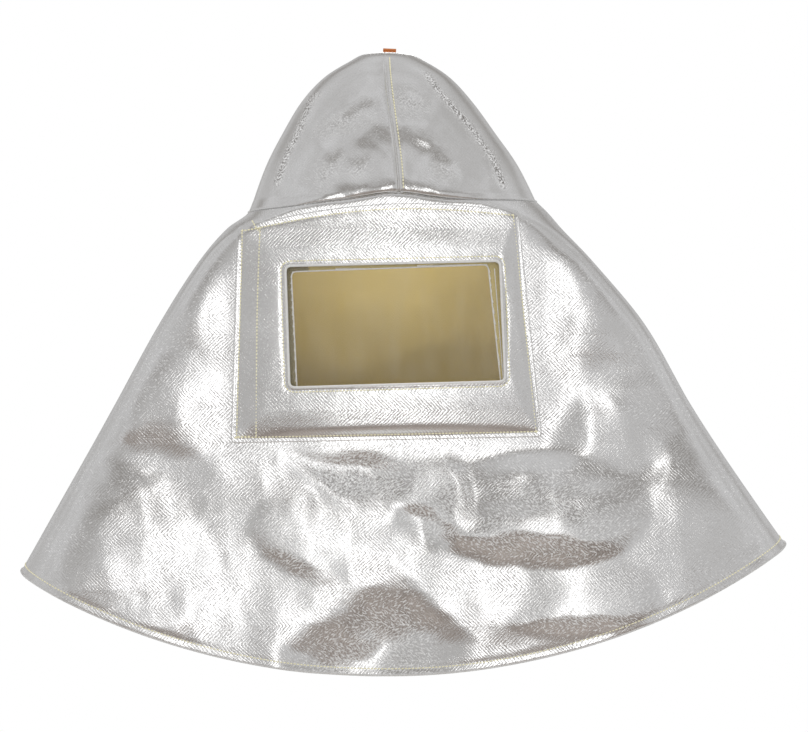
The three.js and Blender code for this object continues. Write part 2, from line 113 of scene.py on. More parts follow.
class Curve:
    """A column of a short table as a smooth function of its key.

    Between two rows it is a cubic. Its slope at a row is the harmonic mean of the slopes on both
    sides, or zero at a turn, so it never passes the rows.
    """

    def __init__(self, at: Sequence[float], value: Sequence[float]) -> None:
        """Takes the keys, in any order, and the value at each.

        Args:
            at: The keys.
            value: The value at each key.
        """
        order = np.argsort(np.asarray(at, float))
        self.at = np.asarray(at, float)[order]
        self.value = np.asarray(value, float)[order]
        step = np.diff(self.value) / np.diff(self.at)
        before, after = step[:-1], step[1:]
        total = np.where(before + after == 0.0, 1.0, before + after)
        inner = np.where(before * after <= 0.0, 0.0, 2.0 * before * after / total)
        self.slope = np.concatenate([step[:1], inner, step[-1:]])

    def __call__(self, key: Array) -> Array:
        """The value at each key, level beyond the ends of the table.

        Args:
            key: Where it is asked for.

        Returns:
            The value at each.
        """
        i = np.clip(np.searchsorted(self.at, key) - 1, 0, len(self.at) - 2)
        width = self.at[i + 1] - self.at[i]
        t = np.clip((key - self.at[i]) / width, 0.0, 1.0)
        rise = t * t * (3.0 - 2.0 * t)
        ends = self.value[i] * (1.0 - rise) + self.value[i + 1] * rise
        leave = (t**3 - 2.0 * t * t + t) * self.slope[i]
        arrive = (t**3 - t * t) * self.slope[i + 1]
        return ends + width * (leave + arrive)


@dataclass(frozen=True)
class Ring:
    """Half widths and depths of the hood at one level."""

    at: float
    left: float
    right: float
    front: float
    back: float


@dataclass(frozen=True)
class Fold:
    """A ridge or hollow with two even flanks along a short line in the front view.

    Attributes:
        x, z: Its middle.
        run: Half its length.
        above, below: Width of the flank on the upper or left side of the line, and on the other.
        turn: Degrees from level.
        lift: Height of the ridge, or less than zero for a hollow.
        soft: Roundness of its crest.
        pinch: Share of its width that it loses towards its ends.
        end_power, taper_power: How late and how fast it falls towards its ends.
        foot, foot_drop: Roundness where its flanks end, and how far they are lowered there.
    """

    x: float
    z: float
    run: float
    above: float
    below: float
    turn: float
    lift: float
    soft: float = 0.02
    pinch: float = 0.2
    end_power: float = 2.4
    taper_power: float = 1.4
    foot: float = 0.05
    foot_drop: float = 0.02

    def shape(self, x: Array, z: Array) -> Array:
        """A rounded tent of height 1 across the line, lower and narrower towards its two ends.

        Args:
            x: Place across.
            z: Height.

        Returns:
            The share of the lift at each place.
        """
        turn = np.radians(self.turn)
        along = ((x - self.x) * np.cos(turn) + (z - self.z) * np.sin(turn)) / self.run
        across = (z - self.z) * np.cos(turn) - (x - self.x) * np.sin(turn)
        taper = np.clip(1.0 - np.abs(along) ** self.end_power, 0.0, 1.0) ** self.taper_power
        width = np.where(across > 0.0, self.above, self.below) * (1.0 - self.pinch * (1.0 - taper))
        share = across / width
        tent = 1.0 - (np.sqrt(share * share + self.soft) - np.sqrt(self.soft))
        tent = 0.5 * (tent + np.sqrt(tent * tent + self.foot)) - self.foot_drop
        return np.clip(tent, 0.0, None) * taper

    def height(self, x: Array, z: Array) -> Array:
        """Lift times shape."""
        return self.lift * self.shape(x, z)


@dataclass(frozen=True)
class Crease:
    """A narrow ridge of crushed cloth along a bent line in the front view.

    Attributes:
        line: Places that it passes through.
        width: Half its width.
        lift: Its height.
        fade_in, fade_out: Length over which it rises at its start and falls at its end.
    """

    line: tuple[Pair, ...]
    width: float = 4.6
    lift: float = 1.8
    fade_in: float = 16.0
    fade_out: float = 8.0

    def shape(self, x: Array, z: Array) -> Array:
        """A bell of height 1 across the line, fading over its two ends.

        Args:
            x: Place across.
            z: Height.

        Returns:
            The share of the lift at each place.
        """
        places = np.asarray(self.line, float)
        lengths = np.linalg.norm(np.diff(places, axis=0), axis=1)
        start = np.concatenate([[0.0], np.cumsum(lengths)])
        nearest = np.full(np.broadcast(x, z).shape, np.inf)
        run = np.zeros_like(nearest)
        for k, length in enumerate(lengths):
            ahead = (places[k + 1] - places[k]) / length
            along = np.clip((x - places[k, 0]) * ahead[0] + (z - places[k, 1]) * ahead[1], 0.0, length)
            off = np.hypot(x - places[k, 0] - along * ahead[0], z - places[k, 1] - along * ahead[1])
            run = np.where(off < nearest, start[k] + along, run)
            nearest = np.minimum(off, nearest)
        starts = smoothstep(run, 0.0, self.fade_in)
        ends = starts * (1.0 - smoothstep(run, start[-1] - self.fade_out, start[-1]))
        return bell(nearest, self.width) * ends

    def height(self, x: Array, z: Array) -> Array:
        """Lift times shape."""
        return self.lift * self.shape(x, z)


@dataclass(frozen=True)
class Crumple:
    """Slack all over a cloth: a sum of seeded waves, half of them sharp at the crest."""

    seed: int
    waves: int = 16
    shortest: float = 60.0
    longest: float = 240.0
    steepness: float = 0.014
    sharp_middle: float = 0.64

    def height(self, x: Array, z: Array) -> Array:
        """Sum of level and slanting waves, each as high as its length times the steepness.

        Args:
            x: Place across.
            z: Height.

        Returns:
            The height at each place.
        """
        rng = np.random.default_rng(self.seed)
        length = np.geomspace(self.shortest, self.longest, self.waves)
        turn = rng.uniform(0.0, np.pi, self.waves)
        phase = rng.uniform(0.0, 2.0 * np.pi, self.waves)
        total = np.zeros(np.broadcast(x, z).shape)
        for k in range(self.waves):
            run = x * np.cos(turn[k]) + z * np.sin(turn[k])
            wave = np.sin(2.0 * np.pi * run / length[k] + phase[k])
            crest = self.sharp_middle - np.abs(wave) if k % 2 else wave
            total += self.steepness * length[k] / (2.0 * np.pi) * crest
        return total


@dataclass
class HoodForm:
    """The hood's outer face: superellipse sections, flattened at the face, with folds and seams."""

    cloth: float = 1.6
    seam_gap: float = 0.5
    crown_rows: tuple[Ring, ...] = (
        Ring(0, 7, -7, 0, 0),
        Ring(2, 27, 16, 24, 24),
        Ring(10, 43, 34, 52, 50),
        Ring(26, 68, 58, 77, 78),
        Ring(50, 90, 80, 94, 100),
        Ring(82, 109, 103, 107, 116),
        Ring(114, 125, 125, 117, 125),
        Ring(150, 138, 143, 125.5, 132),
    )
    cape_rows: tuple[Ring, ...] = (
        Ring(-148, 138, 143, 125.5, 132),
        Ring(-160, 143, 155, 138, 136),
        Ring(-176, 163, 168, 150, 141),
        Ring(-208, 189, 197, 160, 142),
        Ring(-272, 230, 250, 162, 144),
        Ring(-352, 274, 296, 162, 146),
        Ring(-448, 328, 360, 163, 148),
        Ring(-630, 431, 494, 164, 152),
    )
    face_levels: tuple[float, ...] = (-140, -390, -460, -630)
    face_front: tuple[float, ...] = (122, 122, 129, 144)
    face_back: tuple[float, ...] = (128, 130, 134, 142)
    face_blend: float = 30.0
    seam_blend: float = 4.0
    lean_top: float = -7.0
    lean_base: float = 7.0
    lean_fade: float = 60.0
    squareness_top: float = 2.0
    squareness_base: float = 3.0
    squareness_hem: float = 5.0
    squareness_reached: float = -215.0
    seam_x: tuple[float, ...] = (-145, -95, -45, 5, 60, 145)
    seam_z: tuple[float, ...] = (-160, -156, -150, -144, -150, -149)
    seam_back: float = -152.0
    hem_middle: float = -9.0
    hem_centre: float = 75.0
    hem_radius: float = 687.0
    strip_power: float = 2.25
    pocket_low: Pair = (-155, -386)
    pocket_high: Pair = (145, -156)
    pocket_fade: float = 30.0
    pocket_fade_across: float = 0.55
    pocket_slack: float = 0.2
    seam_reach: float = 4.0
    seam_ridge: Triple = (0.5, 5.0, 4.0)
    seam_valley: Pair = (1.5, 2.4)
    blend_reach: Pair = (8.0, 50.0)
    relief_reach: Pair = (4.0, 40.0)
    normal_step: float = 0.6
    rounds: int = 14
    halvings: int = 34
    side_angle: float = 89.9
    dent_crush: float = 0.6
    fold_crush: float = 0.35
    sharp_fold: float = 0.05
    front_folds: tuple[Fold, ...] = (
        Fold(141, -469, 110, 76, 34, 2, 12, 0.02, 0.6),
        Fold(56, -426, 56, 100, 20, 96, 4, 0.02, 0.4),
        Fold(-42, -411, 62, 25, 58, -10, -7, 0.02, 0.5),
        Fold(-64, -428, 64, 60, 12, -31, 2.6, 0.02),
        Fold(-48, -454, 62, 40, 34, -42, 2.2, 0.2, 0.4),
        Fold(34, -464, 32, 16, 26, -14, -4.2, 0.02, 0.4),
        Fold(-22, -590, 84, 60, 80, 46, -13, 0.02, 0.1),
        Fold(-92, -490, 58, 70, 16, -26, 3.2, 0.02, 0.5),
        Fold(188, -550, 72, 60, 20, 10, 4.2, 0.02, 0.6),
        Fold(270, -500, 130, 160, 70, 86, 9, 0.4),
        Fold(178, -272, 54, 30, 46, 33, 4, 0.15, 0.4),
        Fold(200, -366, 70, 38, 46, 18, 6, 0.12, 0.4),
        Fold(-250, -345, 50, 50, 95, 80, 5.2, 0.2, 0.5),
        Fold(-190, -252, 56, 50, 50, 20, 2.4, 0.3),
        Fold(-305, -490, 95, 40, 100, 80, 8.5, 0.3),
        Fold(312, -413, 78, 34, 54, -50, 5, 0.2, 0.5),
        Fold(174, -208, 46, 26, 44, -58, 3.2, 0.15, 0.4),
    )
    crown_folds: tuple[Fold, ...] = (
        Fold(-47, -72, 42, 12, 18, 24, -3.6),
        Fold(-61, -122, 26, 13, 15, 50, -2.4),
        Fold(-31, -121, 18, 10, 12, 35, -1.6),
        Fold(18, -54, 28, 16, 18, -18, -3.8),
        Fold(52, -121, 20, 11, 13, -24, -1.8),
    )
    crown_creases: tuple[Crease, ...] = (
        Crease(((-63, -37), (-79, -48), (-91, -80), (-103, -105), (-115, -141))),
        Crease(((28, -15), (47, -43), (75, -75), (99, -109), (112, -143))),
    )
    back_folds: tuple[Fold, ...] = (
        Fold(-150, -430, 150, 45, 45, 62, 9),
        Fold(150, -430, 150, 45, 45, -62, 9),
        Fold(10, -480, 120, 48, 48, 88, -10),
        Fold(-84, -303, 66, 70, 36, -20, -10.5, 0.12, 0.4),
        Fold(-6, -299, 98, 70, 36, 13, -11.5, 0.12, 0.4),
        Fold(82, -287, 80, 70, 36, 4, -9, 0.12, 0.4),
    )
    cape_crumple: Crumple = Crumple(11)
    smooth_cloth: Fold = Fold(168, -520, 165, 78, 75, 6, 0.85, 0.4, 0.3)
    wander: Crumple = Crumple(23, shortest=44.0, longest=170.0, steepness=0.1)
    crumple_apart: float = 400.0
    wander_apart: float = 900.0
    wander_back: float = 0.6
    crown_crumple: Crumple = Crumple(5, shortest=24.0, longest=130.0, steepness=0.026)

    def __post_init__(self) -> None:
        """Turns the columns of the tables into curves."""
        drop = [np.sqrt(row.at) for row in self.crown_rows]
        level = [row.at for row in self.cape_rows]
        names = ("left", "right", "front", "back")
        self._crown = {n: Curve(drop, [getattr(r, n) for r in self.crown_rows]) for n in names}
        self._cape = {n: Curve(level, [getattr(r, n) for r in self.cape_rows]) for n in names}
        self._face = {
            Face.FRONT: Curve(self.face_levels, self.face_front),
            Face.BACK: Curve(self.face_levels, self.face_back),
        }
        self._seam = Curve(self.seam_x, self.seam_z)
        self.base = self.cape_rows[0].at

    def size(self, side: str, z: Array) -> Array:
        """Half width or depth of a section: the crown's rows above the base, the cape's below it."""
        crown = self._crown[side](np.sqrt(np.maximum(0.0, self.cloth - z)))
        return np.where(z > self.base, crown, self._cape[side](z))

    def lean(self, z: Array) -> Array:
        """How far the middle of a section stands to the right.

        Args:
            z: Height of the section.

        Returns:
            The distance in millimetres.
        """
        share = smoothstep(-z, -self.cloth, -self.base)
        fade = 1.0 - smoothstep(-z, -self.base, -self.base + self.lean_fade)
        return fade * (self.lean_top + (self.lean_base - self.lean_top) * share)

    def power(self, z: Array) -> Array:
        """Exponent of the sine and cosine in a section: two over its squareness.

        Args:
            z: Height of the section.

        Returns:
            The exponent.
        """
        crown = smoothstep(-z, -self.cloth, -self.base)
        cape = smoothstep(-z, -self.base, -self.squareness_reached)
        square = self.squareness_top + (self.squareness_base - self.squareness_top) * crown
        return 2.0 / (square + (self.squareness_hem - self.squareness_base) * cape)

    def across(self, angle: Array, z: Array) -> Array:
        """Place across the hood: the lean plus the half width times a power of the angle's sine.

        Args:
            angle: Degrees round the section.
            z: Height of the section.

        Returns:
            The place of each.
        """
        sine = np.sin(np.radians(angle))
        lean = self.lean(z)
        reach = np.where(sine < 0.0, self.size("left", z) + lean, self.size("right", z) - lean)
        return lean + reach * np.sign(sine) * np.abs(sine) ** self.power(z)

    def seam_at(self, x: Array, face: Face) -> Array:
        """Height of the crown seam: a curve at the front, level at the back."""
        return self._seam(x) if face is Face.FRONT else np.full(np.shape(x), self.seam_back)

    def hem_at(self, x: Array) -> Array:
        """Height of the hem: an arc of one circle in the front view."""
        return self.hem_centre - np.sqrt(self.hem_radius**2 - (x - self.hem_middle) ** 2)

    def strip_angles(self, share: Array, face: Face) -> Array:
        """Angles of strips of cloth, from shares of -1 to 1 across a face."""
        turn = np.degrees(np.arcsin(np.sign(share) * np.abs(share) ** self.strip_power))
        return turn if face is Face.FRONT else 180.0 + turn

    def clear_of_pocket(self, x: Array, z: Array) -> Array:
        """Zero over the window pocket, one on the open cloth.

        Args:
            x: Place across.
            z: Height.

        Returns:
            The share at each place.
        """
        out_x = np.maximum(np.maximum(self.pocket_low[0] - x, x - self.pocket_high[0]), 0.0)
        out_z = np.maximum(np.maximum(self.pocket_low[1] - z, z - self.pocket_high[1]), 0.0)
        return smoothstep(np.hypot(out_x * self.pocket_fade_across, out_z), 0.0, self.pocket_fade)

    def wandered(self, x: Array, z: Array, face: Face) -> tuple[Array, Array]:
        """Places moved a little by two sets of waves, less on the back: the folds aren't straight.

        Args:
            x: Place across.
            z: Height.
            face: Front or back.

        Returns:
            The moved places, across and up.
        """
        share = 1.0 if face is Face.FRONT else self.wander_back
        across, up = self.wander.height(x, z), self.wander.height(x + self.wander_apart, z)
        return x + share * across, z + share * up

    def relief(self, x: Array, z: Array, face: Face) -> Array:
        """Folds, small creases and the valley of the crown seam, as one height over the plain form.

        Args:
            x: Place across.
            z: Height.
            face: Front or back.

        Returns:
            Height at each place, before it fades towards the sides and the top.
        """
        above = z - self.seam_at(x, face)
        ridge, ridge_at, ridge_width = self.seam_ridge
        valley, valley_width = self.seam_valley
        seam = ridge * bell(above - ridge_at, ridge_width) - valley * bell(above, valley_width)
        on_crown = smoothstep(above, -self.seam_reach, self.seam_reach)
        places = self.wandered(x, z, face)
        crown = self.crown_crumple.height(x, z)
        if face is Face.FRONT:
            open_cloth = self.clear_of_pocket(x, z)
            cape = sum(fold.height(*places) for fold in self.front_folds) * open_cloth
            small = self.cape_crumple.height(x, z)
            small = small * (self.pocket_slack + (1.0 - self.pocket_slack) * open_cloth)
            small = small * (1.0 - self.smooth_cloth.height(x, z))
            crown = crown + sum(fold.height(x, z) for fold in self.crown_folds + self.crown_creases)
        else:
            cape = sum(fold.height(*places) for fold in self.back_folds)
            small = self.cape_crumple.height(x + self.crumple_apart, z)
        return seam + (cape + small) * (1.0 - on_crown) + crown * on_crown

    def crush(self, points: Array) -> Array:
        """How crushed the film is, 0 to 1: most along the crown's creases, less in dents and folds.

        Args:
            points: Points of the outer face, any shape that ends in 3.

        Returns:
            The share at each point, none on the back.
        """
        # Besides breaking the ribs into coarse crinkles, this share places painted shade in pits and
        # painted glints on crests of the film.
        x, z = points[..., 0], points[..., 2]
        above = z - self.seam_at(x, Face.FRONT)
        on_crown = smoothstep(above, -self.seam_reach, self.seam_reach)
        crown = sum(crease.shape(x, z) for crease in self.crown_creases)
        crown = crown + sum(self.dent_crush * fold.shape(x, z) for fold in self.crown_folds)
        sharp = [fold for fold in self.front_folds if fold.soft < self.sharp_fold]
        places = self.wandered(x, z, Face.FRONT)
        cape = sum(self.fold_crush * fold.shape(*places) for fold in sharp)
        front = np.clip(crown * on_crown + cape * (1.0 - on_crown), 0.0, 1.0)
        return np.where(points[..., 1] < 0.0, front, 0.0)

    def points(self, angle: Array, z: Array, face: Face) -> Array:
        """Points of the outer face. Angle 0 is the front, 90 the right and 180 the back.

        The depth of a section is the soft minimum of a superellipse and the flat face, less soft
        near the crown seam. The relief is added to it, faded by the root of the cosine towards
        the sides.

        Args:
            angle: Degrees round the section.
            z: Height.
            face: Which face the angles lie on.

        Returns:
            Array of points in millimetres, one more axis than angle.
        """
        angle, z = np.broadcast_arrays(np.asarray(angle, float), np.asarray(z, float))
        x = self.across(angle, z)
        cosine = np.abs(np.cos(np.radians(angle)))
        full = self.size(face.value, z) * cosine ** self.power(z)
        off_seam = smoothstep(np.abs(z - self.seam_at(x, face)), *self.blend_reach)
        blend = self.seam_blend + (self.face_blend - self.seam_blend) * off_seam
        depth = soft_minimum(full, self._face[face](z), blend)
        shown = np.sqrt(cosine) * smoothstep(self.cloth - z, *self.relief_reach)
        depth = depth + self.relief(x, z, face) * shown
        return np.stack([x, face.outward * depth, z], axis=-1)

    def meets(self, angle: Array, limit: Callable[[Array], Array]) -> Array:
        """Height at which a strip of cloth at this angle meets a limit given in the front view.

        Args:
            angle: Degrees round the section.
            limit: Height of the limit at a place across.

        Returns:
            The height at each angle.
        """
        z = np.full(np.shape(angle), self.base, float)
        for _ in range(self.rounds):
            z = limit(self.across(angle, z))
        return z

    def front_points(self, x: Array, z: Array, lift: float | Array = 0.0) -> Array:
        """Points of the front at given places of the front view, lifted off along the normal.

        Args:
            x: Place across.
            z: Height.
            lift: Distance off the outer face of the cape or crown.

        Returns:
            The points, found by halving the angle's range again and again.
        """
        base = self._front_base(x, z)
        return base + self.front_normals(x, z) * np.asarray(lift)[..., None]

    def _front_base(self, x: Array, z: Array) -> Array:
        """Points of the front's outer face at places of the front view.

        Args:
            x: Place across.
            z: Height.

        Returns:
            The points.
        """
        x, z = np.broadcast_arrays(np.asarray(x, float), np.asarray(z, float))
        low, high = np.full(x.shape, -self.side_angle), np.full(x.shape, self.side_angle)
        for _ in range(self.halvings):
            middle = 0.5 * (low + high)
            left = self.across(middle, z) < x
            low, high = np.where(left, middle, low), np.where(left, high, middle)
        points = self.points(0.5 * (low + high), z, Face.FRONT)
        points[..., 1] -= self.seam_gap / 2.0
        return points

    def front_normals(self, x: Array, z: Array) -> Array:
        """Outward normals of the front, from the slopes of its depth across and up.

        Args:
            x: Place across.
            z: Height.

        Returns:
            One unit vector for each place.
        """
        step = self.normal_step
        rise_x = self._front_base(x + step, z) - self._front_base(x - step, z)
        rise_z = self._front_base(x, z + step) - self._front_base(x, z - step)
        slope_x, slope_z = rise_x[..., 1] / (2 * step), rise_z[..., 1] / (2 * step)
        normals = np.stack([slope_x, -np.ones_like(slope_x), slope_z], axis=-1)
        return normals / np.linalg.norm(normals, axis=-1, keepdims=True)


class Signal:
    """A shader value that takes part in Python arithmetic: each operation adds a Math node."""

    def __init__(self, graph: "Graph", socket: bpy.types.NodeSocket) -> None:
        """Wraps one output socket of a graph."""
        self.graph = graph
        self.socket = socket

    def _with(self, operation: str, *values: Any) -> "Signal":
        """Adds a Math node on the given values."""
        node = self.graph.node("ShaderNodeMath", {"operation": operation}, dict(enumerate(values)))
        return Signal(self.graph, node.outputs[0])

    def __add__(self, other: Any) -> "Signal":
        """Sum."""
        return self._with("ADD", self, other)

    def __sub__(self, other: Any) -> "Signal":
        """Difference."""
        return self._with("SUBTRACT", self, other)

    def __rsub__(self, other: Any) -> "Signal":
        """Difference from a number."""
        return self._with("SUBTRACT", other, self)

    def __mul__(self, other: Any) -> "Signal":
        """Product."""
        return self._with("MULTIPLY", self, other)

    def __truediv__(self, other: Any) -> "Signal":
        """Quotient."""
        return self._with("DIVIDE", self, other)

    def __pow__(self, other: Any) -> "Signal":
        """Power."""
        return self._with("POWER", self, other)

    def __rtruediv__(self, other: Any) -> "Signal":
        """Quotient of a number."""
        return self._with("DIVIDE", other, self)

    __radd__ = __add__
    __rmul__ = __mul__

    def sine(self) -> "Signal":
        """Sine."""
        return self._with("SINE", self)

    def size(self) -> "Signal":
        """Value without its sign."""
        return self._with("ABSOLUTE", self)

    def pingpong(self, length: float) -> "Signal":
        """Runs up to a length and back again."""
        return self._with("PINGPONG", self, length)

    def clamp(self) -> "Signal":
        """Kept between 0 and 1."""
        low = self._with("MAXIMUM", self, 0.0)
        return low._with("MINIMUM", low, 1.0)


class Graph:
    """The nodes of one material or world."""

    def __init__(self, tree: bpy.types.NodeTree) -> None:
        """Starts from an empty tree."""
        self.tree = tree
        tree.nodes.clear()

    def node(
        self,
        kind: str,
        settings: dict[str, Any] | None = None,
        inputs: dict[str | int, Any] | None = None,
    ) -> bpy.types.Node:
        """Adds a node.

        Args:
            kind: Blender's name of the node type.
            settings: Its own settings, set first.
            inputs: Value, link or signal for each socket, by name or number.

        Returns:
            The node.
        """
        node = self.tree.nodes.new(kind)
        for name, value in (settings or {}).items():
            setattr(node, name, value)
        for name, value in (inputs or {}).items():
            self.feed(node.inputs[name], value)
        return node

    def feed(self, socket: bpy.types.NodeSocket, value: Any) -> None:
        """Sets a socket's value, or links a signal or an output to it.

        Args:
            socket: The input.
            value: A number, a colour, a signal or an output.
        """
        if isinstance(value, Signal):
            self.tree.links.new(value.socket, socket)
        elif isinstance(value, bpy.types.NodeSocket):
            self.tree.links.new(value, socket)
        elif isinstance(value, tuple) and len(value) == 3 and socket.type == "RGBA":
            socket.default_value = (*value, 1.0)
        else:
            socket.default_value = value

    def cloth_place(self) -> tuple[Signal, Signal]:
        """Place along and up the cloth, in metres, from the piece's own UV map.

        Returns:
            The place along and the place up.
        """
        place = self.node("ShaderNodeUVMap", {"uv_map": "cloth"})
        parts = self.node("ShaderNodeSeparateXYZ", None, {0: place.outputs[0]})
        return Signal(self, parts.outputs[0]), Signal(self, parts.outputs[1])

    def attribute(self, name: str) -> Signal:
        """A value that the piece carries at its points, 0 where it carries none."""
        return Signal(self, self.node("ShaderNodeAttribute", {"attribute_name": name}).outputs["Fac"])

    def noise(self, scale: float, detail: float = 2.0, stretch: Triple = (1, 1, 1)) -> Signal:
        """Noise over the object, about 0.5, finer with a larger scale per metre.

        Args:
            scale: Cells in a metre.
            detail: Finer layers added to it.
            stretch: Factor along each axis.

        Returns:
            The noise.
        """
        place = self.node("ShaderNodeTexCoord").outputs["Object"]
        turned = self.node("ShaderNodeMapping", None, {"Vector": place, "Scale": stretch})
        settings = {"noise_dimensions": "3D"}
        inputs = {"Vector": turned.outputs[0], "Scale": scale, "Detail": detail, "Roughness": 0.6}
        return Signal(self, self.node("ShaderNodeTexNoise", settings, inputs).outputs[0])

    def mix(self, share: Any, a: Any, b: Any) -> bpy.types.NodeSocket:
        """A colour between two colours."""
        settings = {"data_type": "RGBA", "clamp_factor": True}
        return self.node("ShaderNodeMix", settings, {0: share, 6: a, 7: b}).outputs[2]

    def bump(self, height: Signal, depth: float) -> bpy.types.NodeSocket:
        """A normal from a height between 0 and 1 that stands for a depth in metres."""
        inputs = {"Strength": 1.0, "Distance": depth, "Height": height}
        return self.node("ShaderNodeBump", None, inputs).outputs[0]


def new_material(name: str) -> tuple[Material, Graph]:
    """A material with an empty graph.

    Args:
        name: Its name.

    Returns:
        The material and its graph.
    """
    material = bpy.data.materials.new(name)
    material.use_nodes = True
    return material, Graph(material.node_tree)


def close_material(graph: Graph, inputs: dict[str | int, Any]) -> None:
    """Ends a graph in one principled shader with the given inputs."""
    shader = graph.node("ShaderNodeBsdfPrincipled", None, inputs)
    graph.node("ShaderNodeOutputMaterial", None, {"Surface": shader.outputs[0]})


@dataclass(frozen=True)
class Herringbone:
    """Twill whose slant turns at each band: a wave of place along plus a zigzag of place up."""

    band: float = 0.0176
    pitch: float = 0.0035
    waver: float = 0.0055
    waver_scale: float = 60.0
    strength_scale: float = 30.0
    break_scale: float = 330.0
    dash_length: float = 0.0023
    dashes_per_rib: float = 1.7

    def count(self, graph: Graph) -> tuple[Signal, Signal]:
        """Ribs passed at each place, a whole number in a valley, and the place up the cloth.

        Args:
            graph: The material's nodes.

        Returns:
            The count and the place up.
        """
        along, up = graph.cloth_place()
        waver = (graph.noise(self.waver_scale, 4.0) - 0.5) * self.waver
        return (along + waver + up.pingpong(self.band)) / self.pitch, up

    def rib(self, graph: Graph) -> Signal:
        """Height of the ribs, 1 on their flat tops and less in their sharp valleys.

        Args:
            graph: The material's nodes.

        Returns:
            The height.
        """
        phase = self.count(graph)[0] * np.pi
        strength = (graph.noise(self.strength_scale, 4.0) * 2.4 - 0.7).clamp() * 0.80 + 0.20
        broken = (graph.noise(self.break_scale, 3.0) * 3.2 - 0.9).clamp()
        return 1.0 - (1.0 - phase.sine().size()) ** 2.0 * strength * broken

    def dash(self, graph: Graph) -> Signal:
        """Noise about 0.5 that is drawn out along each rib.

        Args:
            graph: The material's nodes.

        Returns:
            The noise.
        """
        count, up = self.count(graph)
        run = {0: count * self.dashes_per_rib, 1: up / self.dash_length}
        place = graph.node("ShaderNodeCombineXYZ", None, run)
        inputs = {"Vector": place.outputs[0], "Scale": 1.0, "Detail": 1.0}
        return Signal(graph, graph.node("ShaderNodeTexNoise", None, inputs).outputs[0])


@dataclass(frozen=True)
class AluminizedTwill:
    """Aluminium film on herringbone twill: a satin mirror that shows the ribs."""

    name: str = "aluminized_twill"
    bright: Colour = (0.92, 0.92, 0.925)
    # valley: painted shade of the rib valleys, also the dark end of the random tone.
    valley: Colour = (0.74, 0.73, 0.715)
    roughness: float = 0.13
    # Painted shade in the pits of the coarse crinkles of crushed film.
    crush_pit_shade: Colour = (0.30, 0.28, 0.265)
    rib_depth: float = 0.00011
    rib_share: float = 1.0
    crinkle_share: float = 0.4
    # Share of the painted glint dashes along the ribs.
    glint_share: float = 0.7
    coarse_scale: float = 520.0
    crinkle_scale: float = 450.0
    spark_scale: float = 820.0
    smudge_scale: float = 16.0
    weave: Herringbone = Herringbone()

    def material(self) -> Material:
        """Ribs, fine crinkles and sparse sparks as bump, a base colour darker in the rib valleys as
        painted shade and uneven with random crinkle and smudge tone, and smudges in the gloss.

        Short dashes along the ribs, more of them in the folds, lose their metal so that the pale film
        shows matt and bright: painted glints. Where it is crushed, the ribs give way to coarse
        crinkles, with painted shade in their pits and matt pale specks on their crests as painted
        glints.

        Returns:
            The material.
        """
        material, graph = new_material(self.name)
        crush = graph.attribute("crush")
        rib = self.weave.rib(graph)
        broken = (crush * 1.6 - 0.6).clamp()
        coarse = graph.noise(self.coarse_scale, 1.0)
        crinkle = graph.noise(self.crinkle_scale, 3.0)
        spark = ((graph.noise(self.spark_scale, 1.0) - 0.56) * 4.0).clamp()
        smudge = graph.noise(self.smudge_scale, 3.0)
        # Base tone: darker in the rib valleys as painted shade, with random tone from crinkle and
        # smudge noise.
        light = (rib * 0.4 + crinkle * 0.8 + smudge * 0.4 - 0.45).clamp()
        ribs = rib * self.rib_share * (1.0 - crush * 0.5)
        height = ribs + crinkle * self.crinkle_share + spark * 0.4 + coarse * broken * 3.5
        # Painted shade: the pit colour where the coarse crinkles of crushed film are low.
        dark = (4.4 - coarse * 9.0).clamp() * broken
        # Painted glints: dashes along the ribs, more where crushed, where the metal is taken out so
        # the pale film shows matt.
        crush_glint_rise = (crush * 2.8).clamp()
        dash = (self.weave.dash(graph) * 8.0 - 4.45 + crush_glint_rise).clamp()
        dash = dash * (smudge * 3.0 - 0.8 + crush_glint_rise).clamp()
        # Painted glints on the crests of the coarse crinkles of crushed film.
        crest_glints = (coarse * 12.0 + rib * 3.0 - 9.2).clamp() * broken
        rubbed = (crest_glints + dash * rib * self.glint_share).clamp()
        inputs = {
            "Base Color": graph.mix(dark, graph.mix(light, self.valley, self.bright), self.crush_pit_shade),
            "Metallic": 1.0 - rubbed,
            "Roughness": (self.roughness - 0.05 + smudge * 0.12 + (1.0 - rib) * 0.05).clamp(),
            "Normal": graph.bump(height, self.rib_depth),
        }
        close_material(graph, inputs)
        return material


@dataclass(frozen=True)
class TurnedFilm:
    """The film where the cloth is turned over: rubbed dull and bright along the edge."""

    name: str = "turned_film"
    bright: Colour = (0.95, 0.95, 0.95)
    rubbed: Colour = (0.80, 0.79, 0.775)
    metallic: float = 1.0
    crinkle_scale: float = 420.0
    crinkle_depth: float = 0.00012

    def material(self) -> Material:
        """A dull metal with fine creases across the turn.

        Returns:
            The material.
        """
        material, graph = new_material(self.name)
        crinkle = graph.noise(self.crinkle_scale, 3.0)
        inputs = {
            "Base Color": graph.mix((crinkle * 1.8 - 0.4).clamp(), self.rubbed, self.bright),
            "Metallic": self.metallic,
            "Roughness": (crinkle * 0.2 + 0.34).clamp(),
            "Normal": graph.bump(crinkle, self.crinkle_depth),
        }
        close_material(graph, inputs)
        return material


